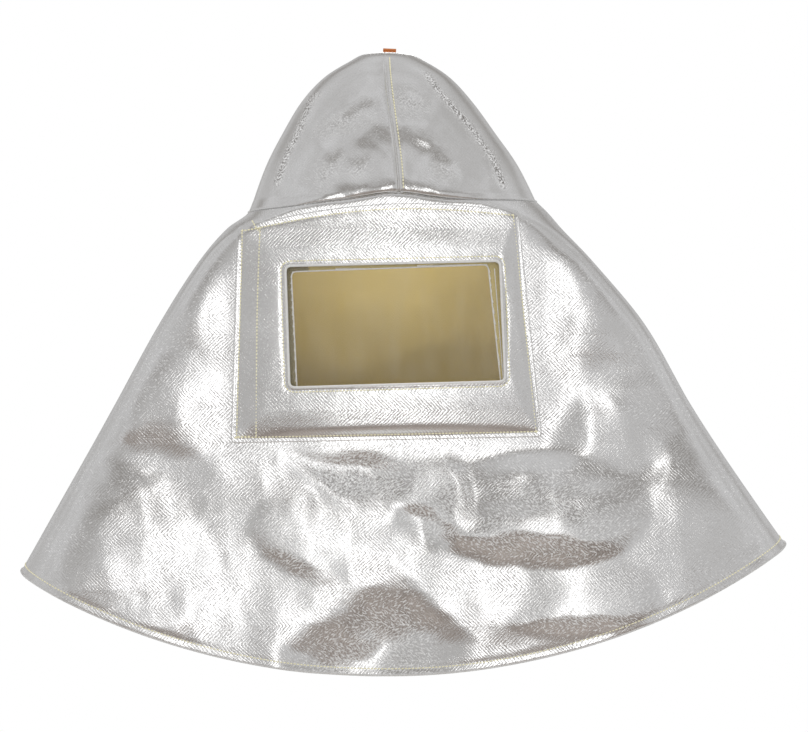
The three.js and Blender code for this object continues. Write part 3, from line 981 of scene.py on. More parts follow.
@dataclass(frozen=True)
class BareTwill:
    """The uncoated inside of the cloth: tan aramid herringbone."""

    name: str = "tan_twill"
    rib: Colour = (0.60, 0.49, 0.21)
    valley: Colour = (0.40, 0.31, 0.11)
    fibre_scale: float = 900.0
    cloud_scale: float = 12.0
    depth: float = 0.0002
    weave: Herringbone = Herringbone()

    def material(self) -> Material:
        """Matt ribs over darker valleys, a little uneven in tone.

        Returns:
            The material.
        """
        material, graph = new_material(self.name)
        rib = self.weave.rib(graph)
        fibre = graph.noise(self.fibre_scale, 2.0)
        cloud = graph.noise(self.cloud_scale, 2.0)
        share = (rib * 0.14 + fibre * 0.45 + cloud * 0.5 - 0.04).clamp()
        inputs = {
            "Base Color": graph.mix(share, self.valley, self.rib),
            "Roughness": 0.86,
            "Specular IOR Level": 0.2,
            "Normal": graph.bump(rib * 0.35 + fibre * 0.4, self.depth),
        }
        close_material(graph, inputs)
        return material


@dataclass(frozen=True)
class SewingThread:
    """Pale yellow aramid thread."""

    name: str = "pale_yellow_thread"
    light: Colour = (0.94, 0.90, 0.66)
    dark: Colour = (0.80, 0.74, 0.48)
    fibre_scale: float = 1500.0
    fibre_depth: float = 0.0002

    def material(self) -> Material:
        """Soft fibre with an uneven tone.

        Returns:
            The material.
        """
        material, graph = new_material(self.name)
        fibre = graph.noise(self.fibre_scale, 2.0)
        inputs = {
            "Base Color": graph.mix((fibre * 1.6 - 0.3).clamp(), self.dark, self.light),
            "Roughness": 0.65,
            "Normal": graph.bump(fibre, self.fibre_depth),
        }
        close_material(graph, inputs)
        return material


@dataclass(frozen=True)
class WovenTape:
    """Orange woven tape."""

    name: str = "orange_tape"
    light: Colour = (0.80, 0.26, 0.06)
    dark: Colour = (0.55, 0.14, 0.03)
    yarn: float = 0.0009
    yarn_depth: float = 0.0003
    fibre_scale: float = 1200.0

    def material(self) -> Material:
        """Plain weave: the product of two waves, one along and one across.

        Returns:
            The material.
        """
        material, graph = new_material(self.name)
        along, up = graph.cloth_place()
        turn = 2.0 * np.pi / self.yarn
        weave = (along * turn).sine() * (up * turn).sine() * 0.5 + 0.5
        fibre = graph.noise(self.fibre_scale, 2.0)
        inputs = {
            "Base Color": graph.mix((weave * 0.7 + fibre * 0.5 - 0.1).clamp(), self.dark, self.light),
            "Roughness": 0.8,
            "Normal": graph.bump(weave, self.yarn_depth),
        }
        close_material(graph, inputs)
        return material


@dataclass(frozen=True)
class ClearSheet:
    """Clear polished plastic with a faint veil and fine scuffs."""

    name: str = "clear_sheet"
    tint: Colour = (0.93, 0.93, 0.90)
    veil: float = 0.045
    scuff_scale: float = 60.0
    scuff_stretch: Triple = (1.0, 1.0, 0.25)

    def material(self) -> Material:
        """Nearly all see-through: the veil is a low alpha that scuffs raise a little.

        Returns:
            The material.
        """
        material, graph = new_material(self.name)
        scuff = graph.noise(self.scuff_scale, 4.0, self.scuff_stretch)
        inputs = {
            "Base Color": self.tint,
            "Roughness": (scuff * 0.12 + 0.02).clamp(),
            "Alpha": ((scuff - 0.45) * 0.10 + self.veil).clamp(),
        }
        close_material(graph, inputs)
        return material


@dataclass(frozen=True)
class StudioPaint:
    """Matt paint of the floor and the cards."""

    name: str
    light: Colour
    dark: Colour
    roughness: float = 0.9
    cloud_scale: float = 2.6

    def material(self) -> Material:
        """A matt colour with large soft clouds of a darker one.

        Returns:
            The material.
        """
        material, graph = new_material(self.name)
        cloud = graph.noise(self.cloud_scale, 2.0)
        inputs = {
            "Base Color": graph.mix((cloud * 3.2 - 1.1).clamp(), self.light, self.dark),
            "Roughness": self.roughness,
        }
        close_material(graph, inputs)
        return material


@dataclass
class Finishes:
    """Every finish of the hood, made once."""

    silver: Material = field(default_factory=AluminizedTwill().material)
    worn: Material = field(
        default_factory=AluminizedTwill(
            "worn_twill", rib_share=0.4, crinkle_share=0.6, glint_share=0.3
        ).material
    )
    flat: Material = field(default_factory=AluminizedTwill("flat_twill", glint_share=0.25).material)
    edge: Material = field(default_factory=TurnedFilm().material)
    rim: Material = field(default_factory=TurnedFilm("rubbed_rim", metallic=0.5).material)
    tan: Material = field(default_factory=BareTwill().material)
    # Painted shade: a darker copy of the tan twill for the facing strip left of the window opening.
    shade: Material = field(
        default_factory=BareTwill("painted_shade_twill", (0.30, 0.26, 0.15), (0.17, 0.14, 0.07)).material
    )
    thread: Material = field(default_factory=SewingThread().material)
    tape: Material = field(default_factory=WovenTape().material)
    clear: Material = field(default_factory=ClearSheet().material)


def grid_faces(rows: int, columns: int, closed: bool = False) -> Array:
    """Four-cornered faces of a grid whose rows run down and whose columns run to the right.

    Args:
        rows: Rows of points.
        columns: Columns of points.
        closed: Whether the last column joins the first.

    Returns:
        One row of four point numbers a face.
    """
    i = np.arange(rows - 1)[:, None]
    j = np.arange(columns if closed else columns - 1)[None, :]
    after = (j + 1) % columns
    corners = [i * columns + j, (i + 1) * columns + j, (i + 1) * columns + after, i * columns + after]
    return np.stack(corners, axis=-1).reshape(-1, 4)


def new_piece(
    name: str,
    points: Array,
    faces: Array,
    materials: Sequence[Material],
    uv: Array | None = None,
    crush: Array | None = None,
) -> Piece:
    """Makes a piece of the hood that rides on its one body.

    Args:
        name: The piece's name.
        points: Points in millimetres, any shape that ends in 3.
        faces: Point numbers of each face.
        materials: Its material slots.
        uv: Place on the cloth in metres, one for each point.
        crush: How crushed its film is, one for each point.

    Returns:
        The new object, at the origin.
    """
    points = points.reshape(-1, 3)
    mesh = bpy.data.meshes.new(name)
    mesh.from_pydata((points * MM).tolist(), [], faces.tolist())
    if uv is not None:
        layer = mesh.uv_layers.new(name="cloth")
        layer.data.foreach_set("uv", uv.reshape(-1, 2)[faces.ravel()].astype(np.float32).ravel())
    if crush is not None:
        carried = mesh.attributes.new("crush", "FLOAT", "POINT")
        carried.data.foreach_set("value", crush.astype(np.float32).ravel())
    mesh.polygons.foreach_set("use_smooth", np.ones(len(mesh.polygons), bool))
    for material in materials:
        mesh.materials.append(material)
    piece = bpy.data.objects.new(name, mesh)
    bpy.context.scene.collection.objects.link(piece)
    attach(piece, "root")
    log.info("%s: %d faces", name, len(faces))
    return piece


def thicken(piece: Piece, thickness: float) -> None:
    """Gives a cloth its thickness inwards, with the tan twill on its inner face.

    Args:
        piece: The cloth.
        thickness: Its thickness in millimetres.
    """
    wall = piece.modifiers.new("cloth", "SOLIDIFY")
    wall.thickness = thickness * MM
    wall.offset = -1.0
    wall.use_even_offset = True
    wall.thickness_clamp = 1.5
    wall.material_offset = 1


def run_lengths(points: Array, axis: int) -> Array:
    """Length along a grid of points, from the start of the given axis.

    Args:
        points: The grid.
        axis: 0 down its columns, 1 along its rows.

    Returns:
        The length at each point.
    """
    step = np.linalg.norm(np.diff(points, axis=axis), axis=-1)
    start = np.zeros_like(np.take(step, [0], axis=axis))
    return np.concatenate([start, np.cumsum(step, axis=axis)], axis=axis)


def cloth_run(points: Array) -> Array:
    """Place on the cloth in metres, as the lengths along both axes of a grid of points."""
    return np.stack([run_lengths(points, 0), run_lengths(points, 1)], axis=-1) * MM


def edge_shares(middle: int, end: int, turn: float = 0.93) -> Array:
    """Shares from -1 to 1, even over the middle and crowded as a cube towards both ends."""
    near = 1.0 - (1.0 - turn) * (1.0 - np.arange(1, end + 1) / end) ** 3
    return np.concatenate([-near[::-1], np.linspace(-turn, turn, middle), near])


def rounded_loop(corners: Sequence[Pair], radius: float, per_side: int) -> Array:
    """A closed four-cornered outline with rounded corners, as many points on each side.

    Within the radius of a corner the outline is a parabola that touches both sides.

    Args:
        corners: The corners in order.
        radius: Length of side that a corner takes.
        per_side: Points on each side.

    Returns:
        The points, without a repeat at the end.
    """
    corner = np.asarray(corners, float)
    side = np.roll(corner, -1, axis=0) - corner
    length = np.linalg.norm(side, axis=1)
    ahead = side / length[:, None]
    share = (np.arange(per_side) / per_side)[None, :]
    share = 0.5 - 0.5 * np.cos(np.pi * share) * (0.6 + 0.4 * np.abs(np.cos(np.pi * share)))
    run = share * length[:, None]
    points = corner[:, None] + ahead[:, None] * run[..., None]
    for place, flip in ((0, run), (1, length[:, None] - run)):
        tip = np.roll(corner, -place, axis=0)[:, None]
        behind = np.roll(ahead, 1 - place, axis=0)[:, None]
        before = np.roll(ahead, -place, axis=0)[:, None]
        q = 0.5 + (0.5 if place == 0 else -0.5) * np.clip(flip / radius, 0.0, 1.0)
        q = q[..., None]
        bend = tip + radius * (q * q * before - (1.0 - q) ** 2 * behind)
        points = np.where((flip < radius)[..., None], bend, points)
    return points.reshape(-1, 2)


def inside_loop(x: Array, z: Array, loop: Array) -> Array:
    """Whether places lie inside a closed outline, by counting the sides that a level ray crosses.

    Args:
        x: Place across.
        z: Height.
        loop: Points of the outline.

    Returns:
        True for each place inside.
    """
    ahead = np.roll(loop, -1, axis=0)
    crosses = (loop[:, 1] > z[..., None]) != (ahead[:, 1] > z[..., None])
    rise = np.where(ahead[:, 1] == loop[:, 1], 1e-9, ahead[:, 1] - loop[:, 1])
    at = loop[:, 0] + (z[..., None] - loop[:, 1]) * (ahead[:, 0] - loop[:, 0]) / rise
    return (np.sum(crosses & (x[..., None] < at), axis=-1) % 2).astype(bool)


def new_roll(
    name: str,
    path: Array,
    half: Pair,
    up: Array | Sequence[float],
    finish: Material,
    sides: int = 8,
    closed: bool = False,
) -> Piece:
    """Makes a turned edge: an oval section carried along a path.

    Args:
        name: The piece's name.
        path: Points of its centre line.
        half: Half its width along the surface, and half its height along up.
        up: Direction off the surface, one for all or one for each point.
        finish: Its material.
        sides: Points round the section.
        closed: Whether the path joins its own start. Otherwise both ends are drawn to a point.

    Returns:
        The piece.
    """
    up = np.broadcast_to(np.asarray(up, float), path.shape)
    ahead = np.roll(path, -1, axis=0) - np.roll(path, 1, axis=0)
    if not closed:
        ahead[0], ahead[-1] = path[1] - path[0], path[-1] - path[-2]
    across = np.cross(ahead, up)
    across /= np.linalg.norm(across, axis=1, keepdims=True)
    turn = np.arange(sides) * 2.0 * np.pi / sides
    full = np.ones(len(path))
    if not closed:
        full[[0, -1]] = 0.02
    level = (half[0] * np.cos(turn))[None, :, None]
    rise = (half[1] * np.sin(turn))[None, :, None]
    ring = across[:, None] * level + up[:, None] * rise
    points = path[:, None] + ring * full[:, None, None]
    faces = grid_faces(len(path) + closed, sides, True) % (len(path) * sides)
    return new_piece(name, points, faces, [finish], cloth_run(points))


def along_path(path: Array, run: Array, at: Array) -> Array:
    """Points or directions of a path at given lengths of its run."""
    return np.stack([np.interp(at, run, path[:, k]) for k in range(3)], axis=1)


def evenly(path: Array, pitch: float) -> tuple[Array, Array]:
    """Points at an even pitch along a path, and the direction of the path at each.

    Args:
        path: Points of the path.
        pitch: Distance between two points.

    Returns:
        The points and their directions.
    """
    run = np.concatenate([[0.0], np.cumsum(np.linalg.norm(np.diff(path, axis=0), axis=1))])
    at = np.arange(pitch / 2.0, run[-1], pitch)
    points = along_path(path, run, at)
    behind, ahead = (along_path(path, run, at + step) for step in (-1.0, 1.0))
    ahead = ahead - behind
    return points, ahead / np.linalg.norm(ahead, axis=1, keepdims=True)


@dataclass
class Cape:
    """The flared cape: a front with the inner window opening, a back, and their turned hem."""

    form: HoodForm
    finishes: Finishes
    front_grid: tuple[int, int, int] = (206, 18, 138)
    back_grid: tuple[int, int, int] = (150, 16, 110)
    hem_grid: tuple[int, int, int] = (206, 18, 60)
    crowding: float = 0.05
    opening: tuple[Pair, ...] = ((-98, -220), (94, -213), (107, -333), (-92, -341))
    opening_corner: float = 6.0
    opening_depth: float = -120.55
    loop_points: int = 60
    cut_points: int = 90
    facing: tuple[Pair, ...] = ((-116, -203), (117, -198), (121, -339), (-111, -345))
    # Left of this the facing strip takes the darker tan twill as painted shade.
    shaded_left_of: float = -80.0
    roll: float = 1.3
    fold_top: Pair = (99.5, -215.0)
    fold_low: Pair = (108.6, -328.0)
    fold_depth: float = -121.9
    fold_half: Pair = (0.8, 0.6)
    hem_half: Pair = (1.1, 1.0)
    hem_in: float = 0.8
    hem_stitch: float = 7.0
    hem_dip: float = 0.4
    hem_dip_width: float = 2.2
    front_flat: Pair = (0.86, 0.50)
    back_flat: Pair = (0.86, 0.50)
    front_area: float = 0.31
    back_area: float = 0.33

    def levels(self, rows: int) -> Array:
        """Shares from the seam to the hem, closer together at the seam and at the hem."""
        even = np.linspace(0.0, 1.0, rows)
        return even - self.crowding * np.sin(2.0 * np.pi * even)

    def grid(self, face: Face, middle: int, end: int, rows: int) -> tuple[Array, Array]:
        """Outer face of one half of the cape, from the crown seam to the hem.

        Each column is a strip at one angle. Its height runs from the seam to the hem, and it dips
        under the hem's line of stitches.

        Args:
            face: Front or back.
            middle: Columns over the middle.
            end: Columns crowded at each side.
            rows: Rows from the seam to the hem.

        Returns:
            Points, and the place on the cloth in metres.
        """
        share = edge_shares(middle, end)
        angle = self.form.strip_angles(share, face)
        top = self.form.meets(angle, lambda x: self.form.seam_at(x, face)) - self.form.seam_gap / 2.0
        low = self.form.meets(angle, self.form.hem_at)
        level = self.levels(rows)[:, None]
        z = top + (low - top) * level
        points = self.form.points(angle[None, :], z, face)
        dip = -self.hem_dip * bell(z - low - self.hem_stitch, self.hem_dip_width)
        points[..., 1] += face.outward * (self.form.seam_gap / 2.0 + dip)
        level_run = run_lengths(points * np.array([1.0, 1.0, 0.0]), 1)
        along = level_run - level_run[:, [len(share) // 2]]
        return points, np.stack([along * MM, z * MM], axis=-1)

    def build_front(self) -> Piece:
        """The front, with the faces inside the opening left out and its edge drawn to the outline.

        Returns:
            The piece.
        """
        points, uv = self.grid(Face.FRONT, *self.front_grid)
        loop = rounded_loop(self.opening, self.opening_corner, self.cut_points)
        flat = points.reshape(-1, 3).copy()
        faces = grid_faces(*points.shape[:2])
        centre = flat[faces].mean(axis=1)
        faces = faces[~inside_loop(centre[:, 0], centre[:, 2], loop)]
        used = np.unique(faces)
        inner = used[inside_loop(flat[used, 0], flat[used, 2], loop)]
        gap = flat[inner][:, None, [0, 2]] - loop[None]
        nearest = np.argmin(np.sum(gap * gap, axis=-1), axis=1)
        flat[inner, 0], flat[inner, 2] = loop[nearest, 0], loop[nearest, 1]
        number = np.zeros(len(flat), int)
        number[used] = np.arange(len(used))
        centre = flat[faces].mean(axis=1)
        around = rounded_loop(self.facing, self.opening_corner, self.loop_points)
        facing = inside_loop(centre[:, 0], centre[:, 2], around)
        skins = [self.finishes.silver, self.finishes.tan, self.finishes.tan, self.finishes.shade]
        place, crush = uv.reshape(-1, 2)[used], self.form.crush(flat[used])
        piece = new_piece("cape_front_cloth", flat[used], number[faces], skins, place, crush)
        # Facing strips are tan; the one on the left takes the darker copy as painted shade.
        skin = np.where(facing, np.where(centre[:, 0] < self.shaded_left_of, 3, 1), 0)
        piece.data.polygons.foreach_set("material_index", skin.astype(np.int32))
        thicken(piece, self.form.cloth)
        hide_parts("cape_front")
        return piece

    def build_back(self) -> Piece:
        """The plain back.

        Returns:
            The piece.
        """
        points, uv = self.grid(Face.BACK, *self.back_grid)
        skins = [self.finishes.silver, self.finishes.tan]
        faces = grid_faces(*points.shape[:2])
        crush = self.form.crush(points)
        piece = new_piece("cape_back_cloth", points, faces, skins, uv, crush)
        thicken(piece, self.form.cloth)
        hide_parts("cape_back")
        return piece

    def build_hem(self, face: Face) -> Piece:
        """The turned hem: an oval roll along the lower edge of one half.

        Args:
            face: Front or back.

        Returns:
            The piece.
        """
        points, _ = self.grid(face, *self.hem_grid)
        path = points[-1] - np.array([0.0, face.outward * self.hem_in, -self.hem_half[1]])
        return new_roll(f"hem_roll_{face.value}", path, self.hem_half, (0, 0, 1), self.finishes.edge)

    def build_opening_roll(self) -> Piece:
        """The turned edge of the inner opening: an oval roll along its outline.

        Returns:
            The piece.
        """
        loop = rounded_loop(self.opening, self.opening_corner, self.loop_points)
        path = np.insert(loop, 1, self.opening_depth, axis=1)
        half = (self.roll, self.roll)
        return new_roll("inner_opening_roll", path, half, (0, -1, 0), self.finishes.rim, 10, True)

    def build_opening_fold(self) -> Piece:
        """The second edge that shows beside the right of the inner opening: a thin straight roll.

        Returns:
            The piece.
        """
        share = np.linspace(0.0, 1.0, 40)[:, None]
        path = np.asarray(self.fold_top) * (1.0 - share) + np.asarray(self.fold_low) * share
        path = np.insert(path, 1, self.fold_depth, axis=1)
        return new_roll("inner_opening_fold", path, self.fold_half, (0, -1, 0), self.finishes.rim)

    def build(self) -> None:
        """Builds and dresses the cape."""
        self.build_front()
        self.build_back()
        self.build_hem(Face.FRONT)
        self.build_hem(Face.BACK)
        self.build_opening_roll()
        self.build_opening_fold()


@dataclass
class Crown:
    """The crown: two halves that meet in a sewn seam over the head."""

    form: HoodForm
    finishes: Finishes
    flat: Pair = (0.40, 0.22)
    area: float = 0.0635
    columns: tuple[int, int] = (136, 14)
    rows: int = 126
    row_power: float = 1.7
    strip_power: float = 1.3
    groove: float = 1.7
    groove_width: float = 1.5
    groove_fade: Pair = (2.0, 20.0)
    allowance: float = 0.35
    allowance_rise: Pair = (0.5, 3.0)
    allowance_fall: Pair = (6.0, 14.0)
    seam_depth: float = 1.5
    centre_depth: float = 1.3
    seam_half: Pair = (1.0, 1.0)
    seam_points: int = 200
    centre_points: int = 90
    centre_top: float = -3.0
    centre_x: float = 6.0

    def build_half(self, side: Side) -> Piece:
        """One half, from the pole at the top to the seam with the cape.

        Height falls from the top as a power of the row's share, so rows crowd at the pole.
        Beside the centre seam the cloth dips, and on the right it stands on its seam allowance.

        Args:
            side: Left or right.

        Returns:
            The piece.
        """
        share = edge_shares(*self.columns)
        share = np.concatenate([[0.0], share[share > 0.0]])
        quarter = np.degrees(np.arcsin(share**self.strip_power))
        front, back = quarter, (180.0 - quarter)[::-1][1:]
        top = self.form.cloth
        parts = []
        for angle, face in ((front, Face.FRONT), (back, Face.BACK)):
            angle = angle * side.value
            low = self.form.meets(angle, lambda x, face=face: self.form.seam_at(x, face))
            low = low + self.form.seam_gap / 2.0
            z = top + (low - top) * (np.linspace(0.0, 1.0, self.rows)[:, None] ** self.row_power)
            parts.append(self.form.points(angle[None, :], z, face))
        points = np.concatenate(parts, axis=1)
        off = np.abs(points[..., 0] - self.form.lean(points[..., 2]))
        fade = smoothstep(self.form.cloth - points[..., 2], *self.groove_fade)
        relief = -self.groove * bell(off, self.groove_width)
        if side is Side.RIGHT:
            risen = self.allowance * smoothstep(off, *self.allowance_rise)
            relief = relief + risen * (1.0 - smoothstep(off, *self.allowance_fall))
        points[..., 1] += np.sign(points[..., 1]) * relief * fade
        points[..., 0] += side.value * self.form.seam_gap / 2.0
        if side is Side.LEFT:
            points = points[:, ::-1]
        along = run_lengths(points * np.array([1.0, 1.0, 0.0]), 1)
        along = along - along[:, [0 if side is Side.RIGHT else -1]]
        down = run_lengths(points, 0)
        uv = np.stack([along, -down], axis=-1) * MM
        faces = grid_faces(*points.shape[:2])
        name = f"crown_{side.name.lower()}_cloth"
        skins = [self.finishes.worn, self.finishes.tan]
        piece = new_piece(name, points, faces, skins, uv, self.form.crush(points))
        thicken(piece, self.form.cloth)
        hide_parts(f"crown_{side.name.lower()}")
        return piece

    def build_seams(self, face: Face, middle: float) -> None:
        """The folded allowances that show at the bottom of the seams: a thin roll along each.

        Args:
            face: Front or back.
            middle: Angle of the middle of that face.
        """
        inward = np.array([0.0, -face.outward * self.seam_depth, 0.0])
        angle = middle + np.degrees(np.arcsin(np.linspace(-1.0, 1.0, self.seam_points)))
        low = self.form.meets(angle, lambda x: self.form.seam_at(x, face))
        end = self.form.seam_at(np.array([self.centre_x]), face)[0]
        z = np.linspace(self.centre_top, end, self.centre_points)
        centre = self.form.points(np.full(len(z), middle), z, face) + inward * self.centre_depth
        for name, path, up in (
            ("crown_seam", self.form.points(angle, low, face) + inward, (0, 0, 1)),
            ("centre_seam", centre, (0, face.outward, 0.3)),
        ):
            new_roll(f"{name}_{face.value}", path, self.seam_half, up, self.finishes.edge)

    def build(self) -> None:
        """Builds and dresses both halves and the seams round them."""
        self.build_half(Side.LEFT)
        self.build_half(Side.RIGHT)
        self.build_seams(Face.FRONT, 0.0)
        self.build_seams(Face.BACK, 180.0)


@dataclass
class Window:
    """The window: a patch sewn on the front, its opening with a turned edge, and the clear sheet."""

    form: HoodForm
    finishes: Finishes
    corners: tuple[Pair, ...] = ((-149, -178), (122, -162), (145, -380), (-155, -386))
    corner: float = 4.0
    top_middle: float = -156.0
    opening: tuple[Pair, ...] = ((-103, -215), (105, -210), (110, -327), (-99, -333))
    opening_corner: float = 6.0
    rise_width: float = 45.0
    edge_gap: float = 0.2
    pocket_rise: float = 1.8
    bow: float = 3.6
    bow_reach: float = 146.0
    bow_low: Pair = (-388.0, -371.0)
    bow_high: Pair = (-212.0, -160.0)
    bow_start: float = 14.0
    edge_stitch: float = 4.5
    opening_stitch: float = 4.5
    dip: float = 0.35
    dip_widths: Pair = (1.8, 1.9)
    pucker_widths: Pair = (7.0, 6.0)
    puckers: tuple[Pair, ...] = ((0.03, 9.0), (0.05, 23.0))
    roll: Pair = (1.3, 1.1)
    roll_depth: float = -125.5
    flat: Pair = (0.30, 0.232)
    area: float = 0.0425
    per_side: int = 84
    rows: int = 30
    loop_points: int = 60
    weave_shift: float = 0.003

    def outline(self, per_side: int) -> Array:
        """The patch's outline, its top edge raised in the middle as half a sine wave.

        Args:
            per_side: Points on each side.

        Returns:
            The points, without a repeat at the end.
        """
        loop = rounded_loop(self.corners, self.corner, per_side)
        chord = 0.5 * (self.corners[0][1] + self.corners[1][1])
        share = (loop[:per_side, 0] - self.corners[0][0]) / (self.corners[1][0] - self.corners[0][0])
        loop[:per_side, 1] += (self.top_middle - chord) * np.sin(np.pi * np.clip(share, 0.0, 1.0))
        return loop

    def bulge(self, x: Array, z: Array) -> Array:
        """Height of the patch's bow: a parabola across, reached slowly from above, fast from below.

        Args:
            x: Place across.
            z: Height.

        Returns:
            The height at each place.
        """
        across = np.clip(1.0 - (np.asarray(x, float) / self.bow_reach) ** 2, 0.0, None)
        from_below = smoothstep(z, *self.bow_low)
        return self.bow * across * from_below * (1.0 - smoothstep(z, *self.bow_high))

    def stand_off(self, to_edge: Array, to_opening: Array, along: Array) -> Array:
        """Height of the patch's inner face over the cape.

        It rises from its stitched edge to the pocket, dips under each line of stitches and puckers
        a little along them.

        Args:
            to_edge: Distance from the patch's edge.
            to_opening: Distance from its opening.
            along: Distance along the outline.

        Returns:
            The height at each place.
        """
        risen = smoothstep(to_edge, 0.0, self.rise_width)
        rise = self.edge_gap + (self.pocket_rise - self.edge_gap) * risen
        off = to_edge - self.edge_stitch, to_opening - self.opening_stitch
        dips = sum(self.dip * bell(*line) for line in zip(off, self.dip_widths))
        near = sum(bell(*line) for line in zip(off, self.pucker_widths))
        pucker = sum(high * np.sin(2.0 * np.pi * along / length) for high, length in self.puckers)
        return rise - dips + near * pucker

    def outer_lift(self, plan: Array, to_edge: Array, to_opening: Array, along: Array) -> Array:
        """Height of the patch's outer face over the cape, at places of the front view.

        Args:
            plan: The places, across and up.
            to_edge: Distance from the patch's edge.
            to_opening: Distance from its opening.
            along: Distance along the outline.

        Returns:
            The height at each place.
        """
        lift = self.stand_off(to_edge, to_opening, along) + self.form.cloth
        bulge = self.bulge(plan[..., 0], plan[..., 1])
        return lift + bulge * smoothstep(to_edge, 0.0, self.bow_start)

    def build_patch(self) -> Piece:
        """The patch: a ring of cloth from its opening to its edge, laid on the front of the cape.

        Returns:
            The piece.
        """
        edge = self.outline(self.per_side)
        hole = rounded_loop(self.opening, self.opening_corner, self.per_side)
        even = np.linspace(0.0, 1.0, self.rows)
        share = (0.5 - 0.5 * np.cos(np.pi * even))[:, None, None]
        plan = edge[None] * (1.0 - share) + hole[None] * share
        to_edge = np.linalg.norm(plan - edge[None], axis=-1)
        to_opening = np.linalg.norm(plan - hole[None], axis=-1)
        run = np.cumsum(np.linalg.norm(np.diff(edge, axis=0, prepend=edge[:1]), axis=1))[None]
        lift = self.outer_lift(plan, to_edge, to_opening, run)
        points = self.form.front_points(plan[..., 0], plan[..., 1], lift)
        uv = points[..., [0, 2]] * MM + self.weave_shift
        faces = grid_faces(points.shape[0], points.shape[1], True)
        skins = [self.finishes.flat, self.finishes.tan]
        piece = new_piece("window_patch", points, faces, skins, uv)
        thicken(piece, self.form.cloth)
        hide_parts("window_frame")
        return piece

    def build_roll(self) -> Piece:
        """The turned edge of the outer opening: an oval roll along its outline.

        Returns:
            The piece.
        """
        loop = rounded_loop(self.opening, self.opening_corner, self.loop_points)
        depth = self.roll_depth - self.bulge(loop[:, 0], loop[:, 1])
        path = np.insert(loop, 1, depth, axis=1)
        return new_roll("outer_opening_roll", path, self.roll, (0, -1, 0), self.finishes.rim, 10, True)

    def build_edge_roll(self) -> Piece:
        """The turned edge of the patch: a thin roll along its outline, as thick as the cloth.

        Returns:
            The piece.
        """
        loop = self.outline(self.loop_points)
        half = self.form.cloth / 2.0
        path = self.form.front_points(loop[:, 0], loop[:, 1], self.edge_gap + half)
        up = self.form.front_normals(loop[:, 0], loop[:, 1])
        return new_roll("patch_edge_roll", path, (half, half), up, self.finishes.edge, 8, True)

    def dress_lens(self) -> None:
        """Gives the clear sheet its finish."""
        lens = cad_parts["window_lens"]
        lens.data.materials.clear()
        lens.data.materials.append(self.finishes.clear)

    def build(self) -> None:
        """Builds and dresses the window."""
        self.build_patch()
        self.build_roll()
        self.build_edge_roll()
        self.dress_lens()


@dataclass
class Tab:
    """The orange tape, folded into a flat loop behind the top of the crown."""

    finishes: Finishes
    width: float = 13.0
    length: float = 12.0
    height: float = 4.6
    tape: float = 1.2
    left: float = -9.0
    front: float = 1.0
    lift: float = 2.0
    tilt: float = 2.5

    def build(self) -> Piece:
        """A ribbon carried along the loop's side view: along the crown, round the bend and back.

        Returns:
            The piece.
        """
        half, bend = self.tape / 2.0, self.height / 2.0
        radius = bend - half
        out = np.stack([np.linspace(0.0, self.length - bend, 10), np.full(10, half)], axis=1)
        turn = np.radians(np.linspace(-90.0, 90.0, 18)[1:-1])
        centre = np.array([self.length - bend, bend])
        round_it = centre + radius * np.stack([np.cos(turn), np.sin(turn)], axis=1)
        share = np.linspace(0.0, 1.0, 12)
        back_y = (self.length - bend) * (1.0 - share)
        back_z = (self.height - half) + (2.0 * self.tape - half - (self.height - half)) * share
        path = np.concatenate([out, round_it, np.stack([back_y, back_z], axis=1)])
        across = np.linspace(0.0, self.width, 12)
        points = np.empty((len(path), len(across), 3))
        points[..., 0] = across[None]
        points[..., 1] = path[:, :1]
        points[..., 2] = path[:, 1:]
        tilt = np.radians(self.tilt)
        x, z = points[..., 0].copy(), points[..., 2].copy()
        points[..., 0] = x * np.cos(tilt) + z * np.sin(tilt) + self.left
        points[..., 2] = z * np.cos(tilt) - x * np.sin(tilt) + self.lift
        points[..., 1] += self.front
        uv = cloth_run(points)
        faces = grid_faces(*points.shape[:2])
        piece = new_piece("crown_tab_tape", points, faces, [self.finishes.tape], uv)
        wall = piece.modifiers.new("tape", "SOLIDIFY")
        wall.thickness = self.tape * MM
        wall.offset = 0.0
        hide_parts("crown_tab")
        return piece


